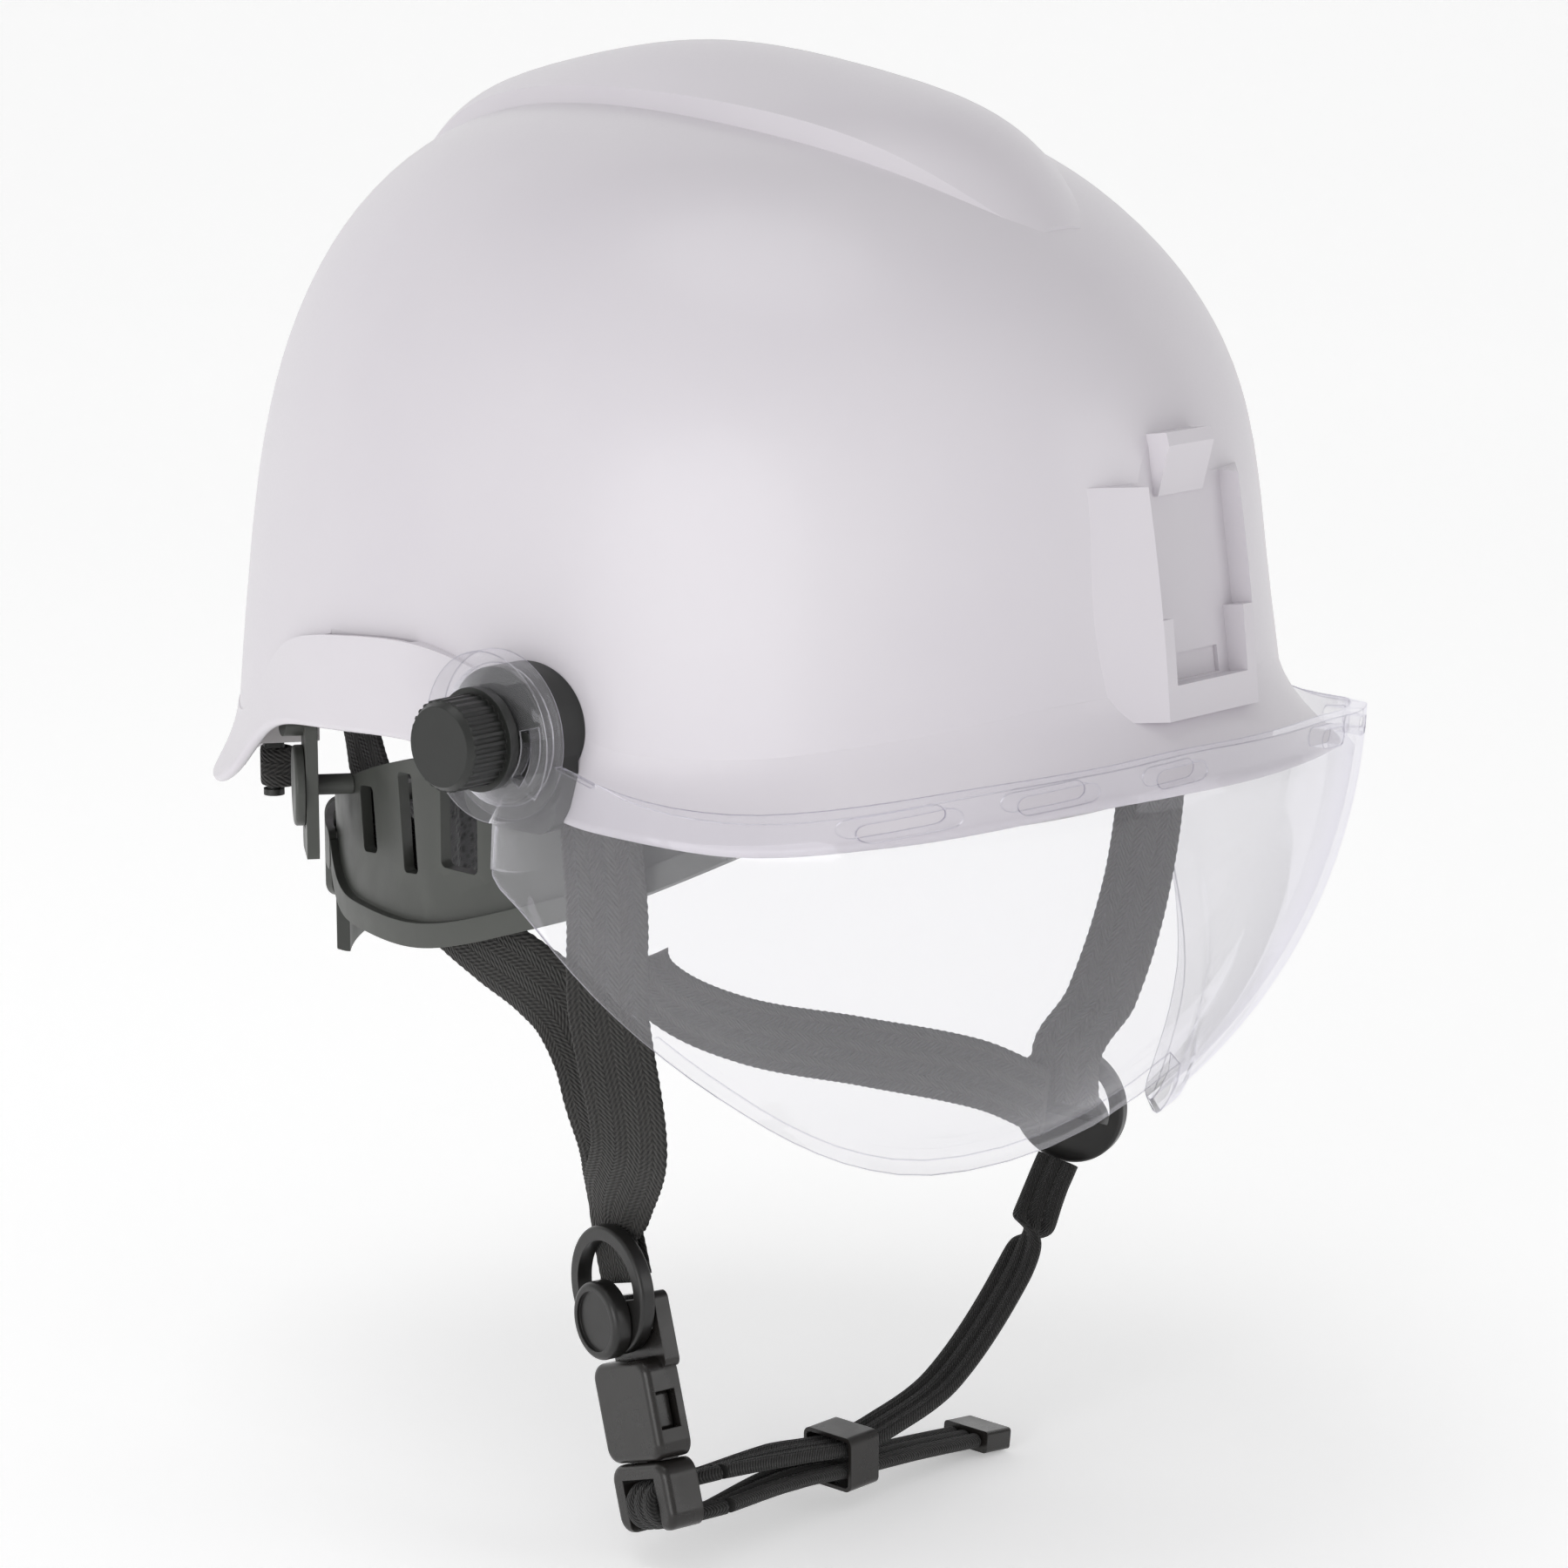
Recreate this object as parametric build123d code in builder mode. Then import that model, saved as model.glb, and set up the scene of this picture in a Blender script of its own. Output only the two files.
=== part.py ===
"""Climbing-style hard hat with a clear hinged visor and a four-point chin strap.

Millimetres, +Z up. The origin is on the dome's centre line in the plane of the rim. The helmet faces -Y,
so -X is the wearer's right side. Every sub-part is written to parts/ as its own STEP file.
"""
import math
import os

from build123d import *

os.makedirs("parts", exist_ok=True)

# ---------------------------------------------------------------- driving dimensions
RIM_LENGTH = 141.3          # half length of the dome at the rim
WIDTH_RATIO = 0.77          # dome width over dome length
SHELL_WALL = 3.0
CAVITY_HEIGHT = 152.3       # height of the dome under the crown panel
# height above the rim, half length there, and how far the section's centre sits behind the origin
DOME_SECTIONS = (
    (-30, 142.6, 0.0),
    (0, RIM_LENGTH, 0.0),
    (31.7, 138.2, -0.2),
    (61.9, 133.9, -0.4),
    (89.5, 126.6, -1.1),
    (113.1, 112.8, 0.4),
    (131.9, 92.5, 3.3),
    (144.8, 64.8, 6.3),
    (151.6, 22.0, 6.8),
)
# angle from the front, crease height, edge height, flare of the edge, step at the crease
SKIRT_STATIONS = (
    (0, 27, 9, 15, 0.3),
    (20, 26, 7.5, 15, 0.3),
    (40, 20, 1, 14, 0.3),
    (55, 15.5, -2.7, 11, 0.3),
    (66, 15, -1.8, 7, 0.3),
    (72, 18, -0.5, 5, 0.3),
    (78, 24, 4, 3.5, 0.3),
    (86, 31, 9.5, 3.2, 1.8),
    (92, 33, 11.5, 4, 3.5),
    (104, 30.5, 9.5, 4, 3.5),
    (112, 26.5, 7.5, 4, 2.5),
    (118, 20, 4, 3.6, 0.8),
    (123, 11, -4, 4, 0.3),
    (129, 2, -13, 6, 0.3),
    (142, 0, -18, 7, 0.3),
    (180, 0, -20, 8, 0.3),
)
SKIRT_STEP = 6              # degrees between the sections of the skirt

# crown panel: distance from the origin along Y, half width, rise on the centre line, rise at its edge
CROWN_SECTIONS = (
    (-98, 8, 0.6, -0.6),
    (-86, 17, 5.0, 1.0),
    (-66, 25, 8.5, 3.5),
    (-30, 31, 10.8, 5.0),
    (10, 28, 11.4, 5.0),
    (50, 23, 10.8, 5.0),
    (84, 17, 8.8, 4.0),
    (106, 11, 5.0, 2.0),
    (112, 8, 0.6, -0.6),
)

PIVOT_Y = -31.0             # visor pivot axis, parallel to X
PIVOT_Z = 17.0
STUD_RADIUS = 3.0
RUNNING_GAP = 0.06
PUCK_RADIUS = 15.5
PUCK_FACE = 114.5           # distance of the adapter's outer face from the middle plane
EAR_THICKNESS = 3.0
EAR_RADIUS = 17.0
WASHER_THICKNESS = 0.8
KNOB_RADIUS = 10.5
KNOB_HEIGHT = 13.2
VISOR_HALF_WIDTH = 116.5    # the lens is an ellipsoid of revolution about the pivot axis
VISOR_RADIUS = 130.0
VISOR_WALL = 2.0
VISOR_SWING = 45.0          # degrees from lowered to raised
STOP_RADIUS = 12.8
STOP_START = 8.0            # degrees above the horizontal where the stop pin stands
STOP_MARGIN = 7.0           # degrees that the curved slot runs on past the pin at both ends

BAND_HALF_WIDTH = 92.0      # outside of the headband
BAND_HALF_LENGTH = 112.0
BAND_WALL = 3.2

WEBBING_WIDTH = 19.0
WEBBING_THICKNESS = 1.5
CLEAR = 0.2                 # gap between neighbouring fixed parts


# ---------------------------------------------------------------- shared shape functions
def eased(table, position, column):
    """Value of one column of a table at a position between its rows, as a smooth cubic."""
    rows = sorted(table)
    for index in range(len(rows) - 1):
        if position <= rows[index + 1][0]:
            break
    low, high = rows[index], rows[index + 1]
    before = rows[max(index - 1, 0)]
    after = rows[min(index + 2, len(rows) - 1)]
    span = high[0] - low[0]
    t = min(max((position - low[0]) / span, 0.0), 1.0)
    slope_low = (high[column] - before[column]) / (high[0] - before[0])
    slope_high = (after[column] - low[column]) / (after[0] - low[0])
    if (high[column] - low[column]) * (low[column] - before[column]) <= 0:
        slope_low = 0.0
    if (after[column] - high[column]) * (high[column] - low[column]) <= 0:
        slope_high = 0.0
    return (
        low[column] * (1 + 2 * t) * (1 - t) ** 2
        + slope_low * span * t * (1 - t) ** 2
        + high[column] * t * t * (3 - 2 * t)
        + slope_high * span * t * t * (t - 1)
    )


def dome_height(x, y):
    """Height of the dome's outer surface over a point of the plan."""
    low, high = 0.0, CAVITY_HEIGHT
    for _ in range(40):
        middle = (low + high) / 2
        half = eased(DOME_SECTIONS, middle, 1)
        back = eased(DOME_SECTIONS, middle, 2)
        inside = (x / (half * WIDTH_RATIO)) ** 2 + ((y - back) / half) ** 2 < 1
        if inside:
            low = middle
        else:
            high = middle
    return low


def dome_solid(inset):
    """The dome as a closed solid, drawn in by inset from its outer surface."""
    scale = (CAVITY_HEIGHT - inset) / CAVITY_HEIGHT
    with BuildPart() as solid:
        for height, half, back in DOME_SECTIONS:
            with BuildSketch(Plane.XY.offset(height * scale)):
                with Locations((0, back)):
                    Ellipse(half * WIDTH_RATIO - inset, half - inset)
        loft()
    return solid.part


def rim_point(angle, height):
    """Point of the dome's outer surface at an angle from the front, towards the wearer's right."""
    half = eased(DOME_SECTIONS, height, 1)
    turn = math.radians(angle)
    x = -half * WIDTH_RATIO * math.sin(turn)
    y = eased(DOME_SECTIONS, height, 2) - half * math.cos(turn)
    return x, y


def rim_plane(angle, height, grow=0.0):
    """Upright plane square to the rim, its x axis outwards and its y axis up."""
    x, y = rim_point(angle, height)
    turn = math.radians(angle)
    outward = Vector(-math.sin(turn) / WIDTH_RATIO, -math.cos(turn), 0).normalized()
    origin = Vector(x, y, height) + outward * grow
    along = outward.cross(Vector(0, 0, 1))
    return Plane(origin=origin, x_dir=outward, z_dir=along)


def skirt_section(angle, grow):
    """Closed section of the brim, side ledge or rear lip at an angle from the front."""
    crease, edge, flare, step = (eased(SKIRT_STATIONS, angle, column) for column in (1, 2, 3, 4))
    drop = crease - edge

    def outer(share):
        return step + (flare - step) * share ** 1.5, -drop * share

    slope = math.atan2(1.5 * (flare - step), drop)
    foot = outer(1.0)
    inner_foot = (foot[0] - SHELL_WALL * math.cos(slope), foot[1] - SHELL_WALL * math.sin(slope))
    half_wall = SHELL_WALL / 2
    tip = (
        (foot[0] + inner_foot[0]) / 2 + half_wall * math.sin(slope),
        (foot[1] + inner_foot[1]) / 2 - half_wall * math.cos(slope),
    )
    inner_top = (-SHELL_WALL - 0.3 - grow, 0.0)
    inner_middle = (
        (inner_top[0] + inner_foot[0]) / 2 - 0.12 * (flare - step),
        inner_foot[1] / 2,
    )
    with BuildSketch(rim_plane(angle, crease, grow)) as section:
        with BuildLine():
            Spline(outer(0.0), outer(0.35), outer(0.7), foot)
            ThreePointArc(foot, tip, inner_foot)
            Spline(inner_foot, inner_middle, inner_top)
            Line(inner_top, outer(0.0))
        make_face()
    return section.sketch.faces()[0]


def skirt_solid(grow):
    """Brim, side ledges and rear lip as one ring below the crease."""
    with BuildPart() as ring:
        angles = range(0, 181, SKIRT_STEP)
        loft(sections=[skirt_section(angle, grow) for angle in angles])
        mirror(about=Plane.YZ)
    return ring.part


def crown_section(y, half, rise, edge_rise):
    """Cross-section of the raised crown panel, standing in the dome's wall."""
    centre = dome_height(0, y)
    side = dome_height(half, y)
    foot = side - 4.0
    with BuildSketch(Plane.XZ.offset(-y)) as section:
        with BuildLine():
            ThreePointArc((-half, side + edge_rise), (0, centre + rise), (half, side + edge_rise))
            Polyline(
                (half, side + edge_rise),
                (half + 3, foot),
                (-half - 3, foot),
                (-half, side + edge_rise),
            )
        make_face()
    return section.sketch.faces()[0]


def crown_solid():
    """The raised panel along the top of the dome."""
    with BuildPart() as panel:
        loft(sections=[crown_section(*row) for row in CROWN_SECTIONS])
    return panel.part


def resample(rows, steps):
    """Rows of (point, direction), with steps of a smooth curve filled in between them."""
    points = [Vector(*point) for point, _ in rows]
    sides = [Vector(*side).normalized() for _, side in rows]
    lengths = [0.0]
    for start, end in zip(points, points[1:]):
        lengths.append(lengths[-1] + (end - start).length)

    def slope(index):
        before = max(index - 1, 0)
        after = min(index + 1, len(points) - 1)
        return (points[after] - points[before]) * (1 / (lengths[after] - lengths[before]))

    filled = []
    for index in range(len(points) - 1):
        span = lengths[index + 1] - lengths[index]
        for step in range(steps):
            share = step / steps
            rise = share * share * (3 - 2 * share)
            filled.append((
                points[index] * (1 - rise)
                + points[index + 1] * rise
                + slope(index) * (span * share * (1 - share) ** 2)
                - slope(index + 1) * (span * share ** 2 * (1 - share)),
                sides[index] * (1 - share) + sides[index + 1] * share,
            ))
    filled.append((points[-1], sides[-1]))
    return filled


def tape(stations, width=WEBBING_WIDTH, thickness=WEBBING_THICKNESS, steps=3):
    """A flat strap through stations of (point, direction across the strap)."""
    rows = resample(stations, steps)
    with BuildPart() as strap:
        for index, (point, across) in enumerate(rows):
            before = rows[max(index - 1, 0)][0]
            after = rows[min(index + 1, len(rows) - 1)][0]
            along = (after - before).normalized()
            side = (across - along * across.dot(along)).normalized()
            with BuildSketch(Plane(origin=point, x_dir=side, z_dir=along)):
                Rectangle(width, thickness)
        loft(ruled=True)
    return strap.part


def finish(part, name):
    """Label a finished piece and write it to its own STEP file."""
    part.label = name
    export_step(part, f"parts/{name}.step")


# ---------------------------------------------------------------- shell
SLOT_TOP = 79.0             # front accessory slot, above the rim plane
SLOT_BOTTOM = 27.0
SLOT_HALF_WIDTH = 16.0
SLOT_NECK = 12.6            # half width below the shoulders
SLOT_SHOULDER = 43.0
SLOT_DEPTH = 5.3
LEDGE_SLOT_LENGTH = 34.0    # side accessory slots in the ledges
LEDGE_SLOT_WIDTH = 2.2
LEDGE_SLOT_DEPTH = 16.0      # from above the ledge, of which about 11 is in the ledge
LEDGE_SLOT_CENTRE = 20.0    # along Y
LEDGE_TOP = 37.0
SLOT_FLOOR = 0.5            # the slot's flat floor lies this far into the dome
FLANGE_HEIGHTS = (SLOT_BOTTOM - 6, 52, SLOT_TOP - 6)


def slot_flange(height):
    """Plan section of the wedge flanges beside the front slot."""
    front = eased(DOME_SECTIONS, height, 2) - eased(DOME_SECTIONS, height, 1)
    half = eased(DOME_SECTIONS, height, 1)

    def face(x):
        return eased(DOME_SECTIONS, height, 2) - half * math.sqrt(1 - (x / half / WIDTH_RATIO) ** 2)

    proud = SLOT_DEPTH + 1
    with BuildSketch(Plane.XY.offset(height)) as section:
        with BuildLine():
            Polyline(
                (-29, face(29) + 1),
                (-SLOT_HALF_WIDTH, face(SLOT_HALF_WIDTH) - proud),
                (SLOT_HALF_WIDTH, face(SLOT_HALF_WIDTH) - proud),
                (29, face(29) + 1),
                (26, front + 12),
                (-26, front + 12),
                close=True,
            )
        make_face()
    return section.sketch.faces()[0]


slot_foot = eased(DOME_SECTIONS, SLOT_BOTTOM, 2) - eased(DOME_SECTIONS, SLOT_BOTTOM, 1)
slot_head = eased(DOME_SECTIONS, SLOT_TOP, 2) - eased(DOME_SECTIONS, SLOT_TOP, 1)
SLOT_PLANE = Plane(
    origin=(0, slot_foot, SLOT_BOTTOM),
    x_dir=(1, 0, 0),
    z_dir=Vector(0, SLOT_BOTTOM - SLOT_TOP, slot_head - slot_foot).normalized(),
)

SLOT_SIDE = Plane(origin=SLOT_PLANE.origin, x_dir=SLOT_PLANE.y_dir, z_dir=(1, 0, 0))

with BuildPart() as shell:
    add(dome_solid(0))
    # the dome stops along the crease, which depends only on the place along Y
    with BuildSketch(Plane.YZ) as below_crease:
        with BuildLine():
            crease = [
                (rim_point(angle, eased(SKIRT_STATIONS, angle, 1))[1],
                 eased(SKIRT_STATIONS, angle, 1) - 2.5)
                for angle in range(0, 181, SKIRT_STEP)
            ]
            ends = ((-RIM_LENGTH - 20, crease[0][1]), (RIM_LENGTH + 20, crease[-1][1]))
            Polyline(ends[0], *crease, ends[1], (ends[1][0], -60), (ends[0][0], -60), close=True)
        make_face()
    extrude(amount=RIM_LENGTH, both=True, mode=Mode.SUBTRACT)
    add(skirt_solid(0))
    add(crown_solid())
    loft(sections=[slot_flange(height) for height in FLANGE_HEIGHTS])
    add(dome_solid(SHELL_WALL), mode=Mode.SUBTRACT)
    # front slot: open at the top, with shoulders that narrow its lower half
    with BuildSketch(SLOT_PLANE.offset(-SLOT_FLOOR)):
        with BuildLine():
            neck_top = SLOT_SHOULDER - SLOT_BOTTOM
            open_top = SLOT_TOP - SLOT_BOTTOM + 12
            Polyline(
                (-SLOT_NECK, 1),
                (-SLOT_NECK, neck_top),
                (-SLOT_HALF_WIDTH, neck_top),
                (-SLOT_HALF_WIDTH, open_top),
                (SLOT_HALF_WIDTH, open_top),
                (SLOT_HALF_WIDTH, neck_top),
                (SLOT_NECK, neck_top),
                (SLOT_NECK, 1),
                close=True,
            )
        make_face()
    extrude(amount=4 * SLOT_DEPTH, mode=Mode.SUBTRACT)
    # shallow pocket at the foot of the slot
    with BuildSketch(SLOT_PLANE.offset(-SLOT_FLOOR - 1)):
        with Locations((0, 4.5)):
            Rectangle(18, 6)
    extrude(amount=2, mode=Mode.SUBTRACT)
    # spring clip block above the slot, with a small square hole in its top
    with BuildSketch(SLOT_SIDE) as clip:
        with BuildLine():
            Polyline((43, -2), (43, 0.8), (54, 5.5), (57, 5), (57, -2.6), close=True)
        make_face()
    extrude(amount=8, both=True)
    with Locations(SLOT_SIDE.location * Location((55.6, 3.2, 4.2))):
        Box(6, 2.2, 3.4, mode=Mode.SUBTRACT)
    # accessory slots down through the side ledges
    with BuildSketch(Plane.XY.offset(LEDGE_TOP)):
        rim = eased(DOME_SECTIONS, LEDGE_TOP, 1)
        Ellipse(rim * WIDTH_RATIO + LEDGE_SLOT_WIDTH + 0.5, rim + LEDGE_SLOT_WIDTH + 0.5)
        Ellipse(rim * WIDTH_RATIO + 0.5, rim + 0.5, mode=Mode.SUBTRACT)
        with Locations((0, LEDGE_SLOT_CENTRE)):
            Rectangle(3 * RIM_LENGTH, LEDGE_SLOT_LENGTH, mode=Mode.INTERSECT)
    extrude(amount=-LEDGE_SLOT_DEPTH, mode=Mode.SUBTRACT)
finish(shell.part, "shell")


def outer_form(gap):
    """The outside of the shell grown by a gap, to shape what lies against it."""
    with BuildPart() as form:
        skirt = skirt_solid(gap)
        add(dome_solid(-gap))
        add(skirt)
        add(Pos(0, 0, -gap) * skirt)
    return form.part


# ---------------------------------------------------------------- visor adapters and their studs
def pivot_plane(outward):
    """Plane of the right pivot, x forwards, y up, z outwards, at a distance beyond the puck's face."""
    return Plane(
        origin=(-PUCK_FACE - outward, PIVOT_Y, PIVOT_Z), x_dir=(0, -1, 0), z_dir=(-1, 0, 0)
    )


TONGUE_WIDTH = 30.0
TONGUE_FACE = -3.8          # face of the tongue, measured outwards from the puck's face
EAR_FOOT = CLEAR
WASHER_FOOT = EAR_FOOT + EAR_THICKNESS + CLEAR
KNOB_FOOT = WASHER_FOOT + WASHER_THICKNESS + CLEAR

RIM_ROOM = 106.0            # half width of the room kept free under the rim

with BuildPart() as visor_adapter_right:
    with BuildSketch(pivot_plane(-13)):
        Circle(PUCK_RADIUS)
    extrude(amount=13)
    fillet(visor_adapter_right.edges().group_by(Axis.X)[0], 0.8)
    with BuildSketch(pivot_plane(TONGUE_FACE)):
        with Locations((0, -9)):
            RectangleRounded(TONGUE_WIDTH, 26, 7)
    extrude(amount=-7)
    add(outer_form(0.15), mode=Mode.SUBTRACT)
    # room for the rounded foot of the rim
    with BuildSketch(Plane.XY.offset(-6)):
        with Locations((-RIM_ROOM / 2, PIVOT_Y)):
            Rectangle(RIM_ROOM, 60)
    extrude(amount=7.4, mode=Mode.SUBTRACT)
    with BuildSketch(pivot_plane(0)):
        Circle(STUD_RADIUS + CLEAR / 2)
    extrude(amount=-8.2, mode=Mode.SUBTRACT)
    # stop pin that runs in the curved slot of the visor's ear
    with BuildSketch(pivot_plane(-2)):
        with PolarLocations(STOP_RADIUS, 1, start_angle=STOP_START):
            Circle(1.2)
    extrude(amount=2 + EAR_FOOT + EAR_THICKNESS)
finish(visor_adapter_right.part, "visor_adapter_right")

with BuildPart() as visor_adapter_left:
    mirror(visor_adapter_right.part, about=Plane.YZ, mode=Mode.ADD)
finish(visor_adapter_left.part, "visor_adapter_left")

with BuildPart() as pivot_studs:
    with BuildSketch(pivot_plane(-8)):
        Circle(STUD_RADIUS)
    extrude(amount=8 + KNOB_FOOT + 9.5)
    chamfer(pivot_studs.edges().group_by(Axis.X)[0], 0.6)
    mirror(about=Plane.YZ)
finish(pivot_studs.part, "pivot_studs")

# ---------------------------------------------------------------- visor
# distance from the middle plane, angle below the pivot's horizontal of the brow edge and of the
# lower edge, thickness along the brow, how proud the lower lip stands
VISOR_STATIONS = (
    (0, -0.4, 37, 4, 1.6),
    (8, -0.4, 42, 4, 1.6),
    (16, -0.4, 47.5, 4, 1.6),
    (28, -0.2, 53.5, 4, 1.6),
    (42, 0.6, 59, 4, 1.6),
    (56, 1.5, 61.5, 4, 1.6),
    (70, 2.9, 62.8, 4, 1.6),
    (82, 5.2, 64, 4, 1.5),
    (92, 8, 66.5, 3.6, 1.2),
    (99, 10.6, 69.5, 3.2, 1.0),
    (104, 12.5, 73, 2.8, 0.8),
    (108, 14, 77.5, 2.4, 0.6),
    (111, 14.6, 84, 2.2, 0.5),
    (113.2, 13, 96, 2.2, 0.4),
)
VISOR_STEPS = 26            # sections on each side of the middle plane
WEB_RADIUS = 31.0
WEB_FACE = 0.3
BROW_HEIGHT = 9.0
LIP_HEIGHT = 8.0
RAMP = 1.6                  # length of the ramps beside the brow band and the lip
# vent slots: distance from the middle plane, height, length, slope in degrees
VENTS = ((27.5, 12.8, 13, -6), (55, 10.0, 16, -10), (80, 5.0, 16, -17))


def visor_section(x):
    """Section of the visor square to the pivot axis."""
    place = abs(x)
    brow, foot, brow_wall, lip = (eased(VISOR_STATIONS, place, column) for column in (1, 2, 3, 4))
    radius = VISOR_RADIUS * math.sqrt(1 - (place / VISOR_HALF_WIDTH) ** 2)
    across = place / VISOR_HALF_WIDTH ** 2
    around = radius / VISOR_RADIUS ** 2
    stretch = math.hypot(across, around) / around

    def point(offset, angle):
        turn = math.radians(angle)
        reach = radius + offset * stretch
        return PIVOT_Y - reach * math.cos(turn), PIVOT_Z - reach * math.sin(turn)

    def arc(offset, start, end):
        ThreePointArc(point(offset, start), point(offset, (start + end) / 2), point(offset, end))

    degrees = math.degrees(1 / radius)
    lip_top = foot - LIP_HEIGHT * degrees
    brow_foot = brow + BROW_HEIGHT * degrees
    ramp = RAMP * degrees
    with BuildSketch(Plane.YZ.offset(x)) as section:
        with BuildLine():
            arc(0, brow, lip_top - ramp)
            Line(point(0, lip_top - ramp), point(lip, lip_top))
            arc(lip, lip_top, foot)
            Line(point(lip, foot), point(-VISOR_WALL, foot))
            arc(-VISOR_WALL, foot, brow_foot + ramp)
            Line(point(-VISOR_WALL, brow_foot + ramp), point(-brow_wall, brow_foot))
            arc(-brow_wall, brow_foot, brow)
            Line(point(-brow_wall, brow), point(0, brow))
        make_face()
    return section.sketch.faces()[0]


with BuildPart() as visor_ears:
    # ring that carries the ear on the lens, clear of the puck inside it
    with BuildSketch(pivot_plane(EAR_FOOT + EAR_THICKNESS)):
        Circle(EAR_RADIUS + 2.5)
    extrude(amount=-5.2)
    # web from the ring to the lens, over the quarter below and ahead of the pivot
    with BuildSketch(pivot_plane(WEB_FACE)):
        with BuildLine():
            rim_arc = CenterArc((0, 0), WEB_RADIUS, -94, 80)
            Line((0, 0), rim_arc @ 0)
            Line((0, 0), rim_arc @ 1)
        make_face()
    extrude(amount=-VISOR_WALL)
    with BuildSketch(pivot_plane(EAR_FOOT)):
        Circle(PUCK_RADIUS + 0.7)
    extrude(amount=-6, mode=Mode.SUBTRACT)
    with BuildSketch(pivot_plane(EAR_FOOT)):
        Circle(STUD_RADIUS + RUNNING_GAP)
        with BuildLine():
            slot_start = STOP_START - VISOR_SWING - STOP_MARGIN
            slot_sweep = VISOR_SWING + 2 * STOP_MARGIN
            near = CenterArc((0, 0), STOP_RADIUS - 1.5, slot_start, slot_sweep)
            far = CenterArc((0, 0), STOP_RADIUS + 1.5, slot_start, slot_sweep)
            Line(near @ 0, far @ 0)
            Line(near @ 1, far @ 1)
        make_face()
    extrude(amount=EAR_THICKNESS, mode=Mode.SUBTRACT)
    mirror(about=Plane.YZ)

with BuildPart() as visor_lens:
    # sections crowd together towards the sides, where the visor curves most
    turns = [math.radians(90 * step / VISOR_STEPS) for step in range(-VISOR_STEPS, VISOR_STEPS + 1)]
    loft(sections=[visor_section(VISOR_STATIONS[-1][0] * math.sin(turn)) for turn in turns], ruled=True)
    add(visor_ears.part)
    for x, z, length, slope in VENTS:
        for side in (-1, 1):
            with BuildSketch(Plane.XZ.offset(-PIVOT_Y)):
                with Locations(Location((side * x, z), side * slope)):
                    SlotOverall(length, 4.2)
            extrude(amount=VISOR_RADIUS + 30, mode=Mode.SUBTRACT)
finish(visor_lens.part, "visor_lens")

with BuildPart() as visor_washers:
    with BuildSketch(pivot_plane(WASHER_FOOT)):
        Circle(9)
        Circle(STUD_RADIUS + RUNNING_GAP, mode=Mode.SUBTRACT)
    extrude(amount=WASHER_THICKNESS)
    mirror(about=Plane.YZ)
finish(visor_washers.part, "visor_washers")

# ---------------------------------------------------------------- clamping knobs
KNOB_FLUTES = 30
COLLAR_RADIUS = 11.8
COLLAR_HEIGHT = 2.4

with BuildPart() as visor_knob_right:
    with BuildSketch(pivot_plane(KNOB_FOOT)):
        Circle(COLLAR_RADIUS)
    extrude(amount=COLLAR_HEIGHT)
    with BuildSketch(pivot_plane(KNOB_FOOT + COLLAR_HEIGHT)):
        Circle(KNOB_RADIUS)
        with PolarLocations(KNOB_RADIUS + 0.25, KNOB_FLUTES):
            Circle(0.75, mode=Mode.SUBTRACT)
    extrude(amount=KNOB_HEIGHT - COLLAR_HEIGHT - 1.5)
    with BuildSketch(pivot_plane(KNOB_FOOT + KNOB_HEIGHT - 1.5)):
        Circle(KNOB_RADIUS - 0.4)
    extrude(amount=1.5, taper=35)
    with BuildSketch(pivot_plane(KNOB_FOOT)):
        Circle(STUD_RADIUS + RUNNING_GAP)
    extrude(amount=10, mode=Mode.SUBTRACT)
finish(visor_knob_right.part, "visor_knob_right")

with BuildPart() as visor_knob_left:
    mirror(visor_knob_right.part, about=Plane.YZ)
finish(visor_knob_left.part, "visor_knob_left")

# ---------------------------------------------------------------- rear hooks and hanger plates
HOOK = (-70, 96)            # plan position of the right rear hook bar
BRACKET_FOOT = -8.0
HOOK_BAR_FOOT = -21.0
HANGER_NORMAL = Vector(-0.79, 0.62, 0).normalized()
HANGER_ORIGIN = Vector(-86, 62, -12.6)
HANGER_THICKNESS = 3.0
HEADBAND_TRAVEL = 8.0       # how far the headband can be let down
BUTTON_STEM = 2.5
HANGER_BUTTON_RADIUS = 9.8

with BuildPart() as rear_brackets:
    with BuildSketch(Plane.XY.offset(BRACKET_FOOT)):
        with Locations(Location(HOOK, 54)):
            RectangleRounded(16, 22, 2)
            with GridLocations(5, 0, 3, 1):
                Rectangle(1.2, 14, mode=Mode.SUBTRACT)
    extrude(amount=24)
    add(dome_solid(SHELL_WALL + 2 * CLEAR), mode=Mode.INTERSECT)
    mirror(about=Plane.YZ)
finish(rear_brackets.part, "rear_brackets")

with BuildPart() as rear_hook_bars:
    with BuildSketch(Plane.XY.offset(BRACKET_FOOT - 0.1)):
        with Locations(Location(HOOK, 54)):
            RectangleRounded(8, 5, 1)
    extrude(amount=-2)
    with BuildSketch(Plane.XY.offset(BRACKET_FOOT - 2)):
        with Locations(HOOK):
            Circle(1.6)
    extrude(amount=HOOK_BAR_FOOT - BRACKET_FOOT + 2)
    with BuildSketch(Plane.XY.offset(HOOK_BAR_FOOT)):
        with Locations(HOOK):
            Circle(2.6)
    extrude(amount=-1.6)
    mirror(about=Plane.YZ)
finish(rear_hook_bars.part, "rear_hook_bars")

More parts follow.
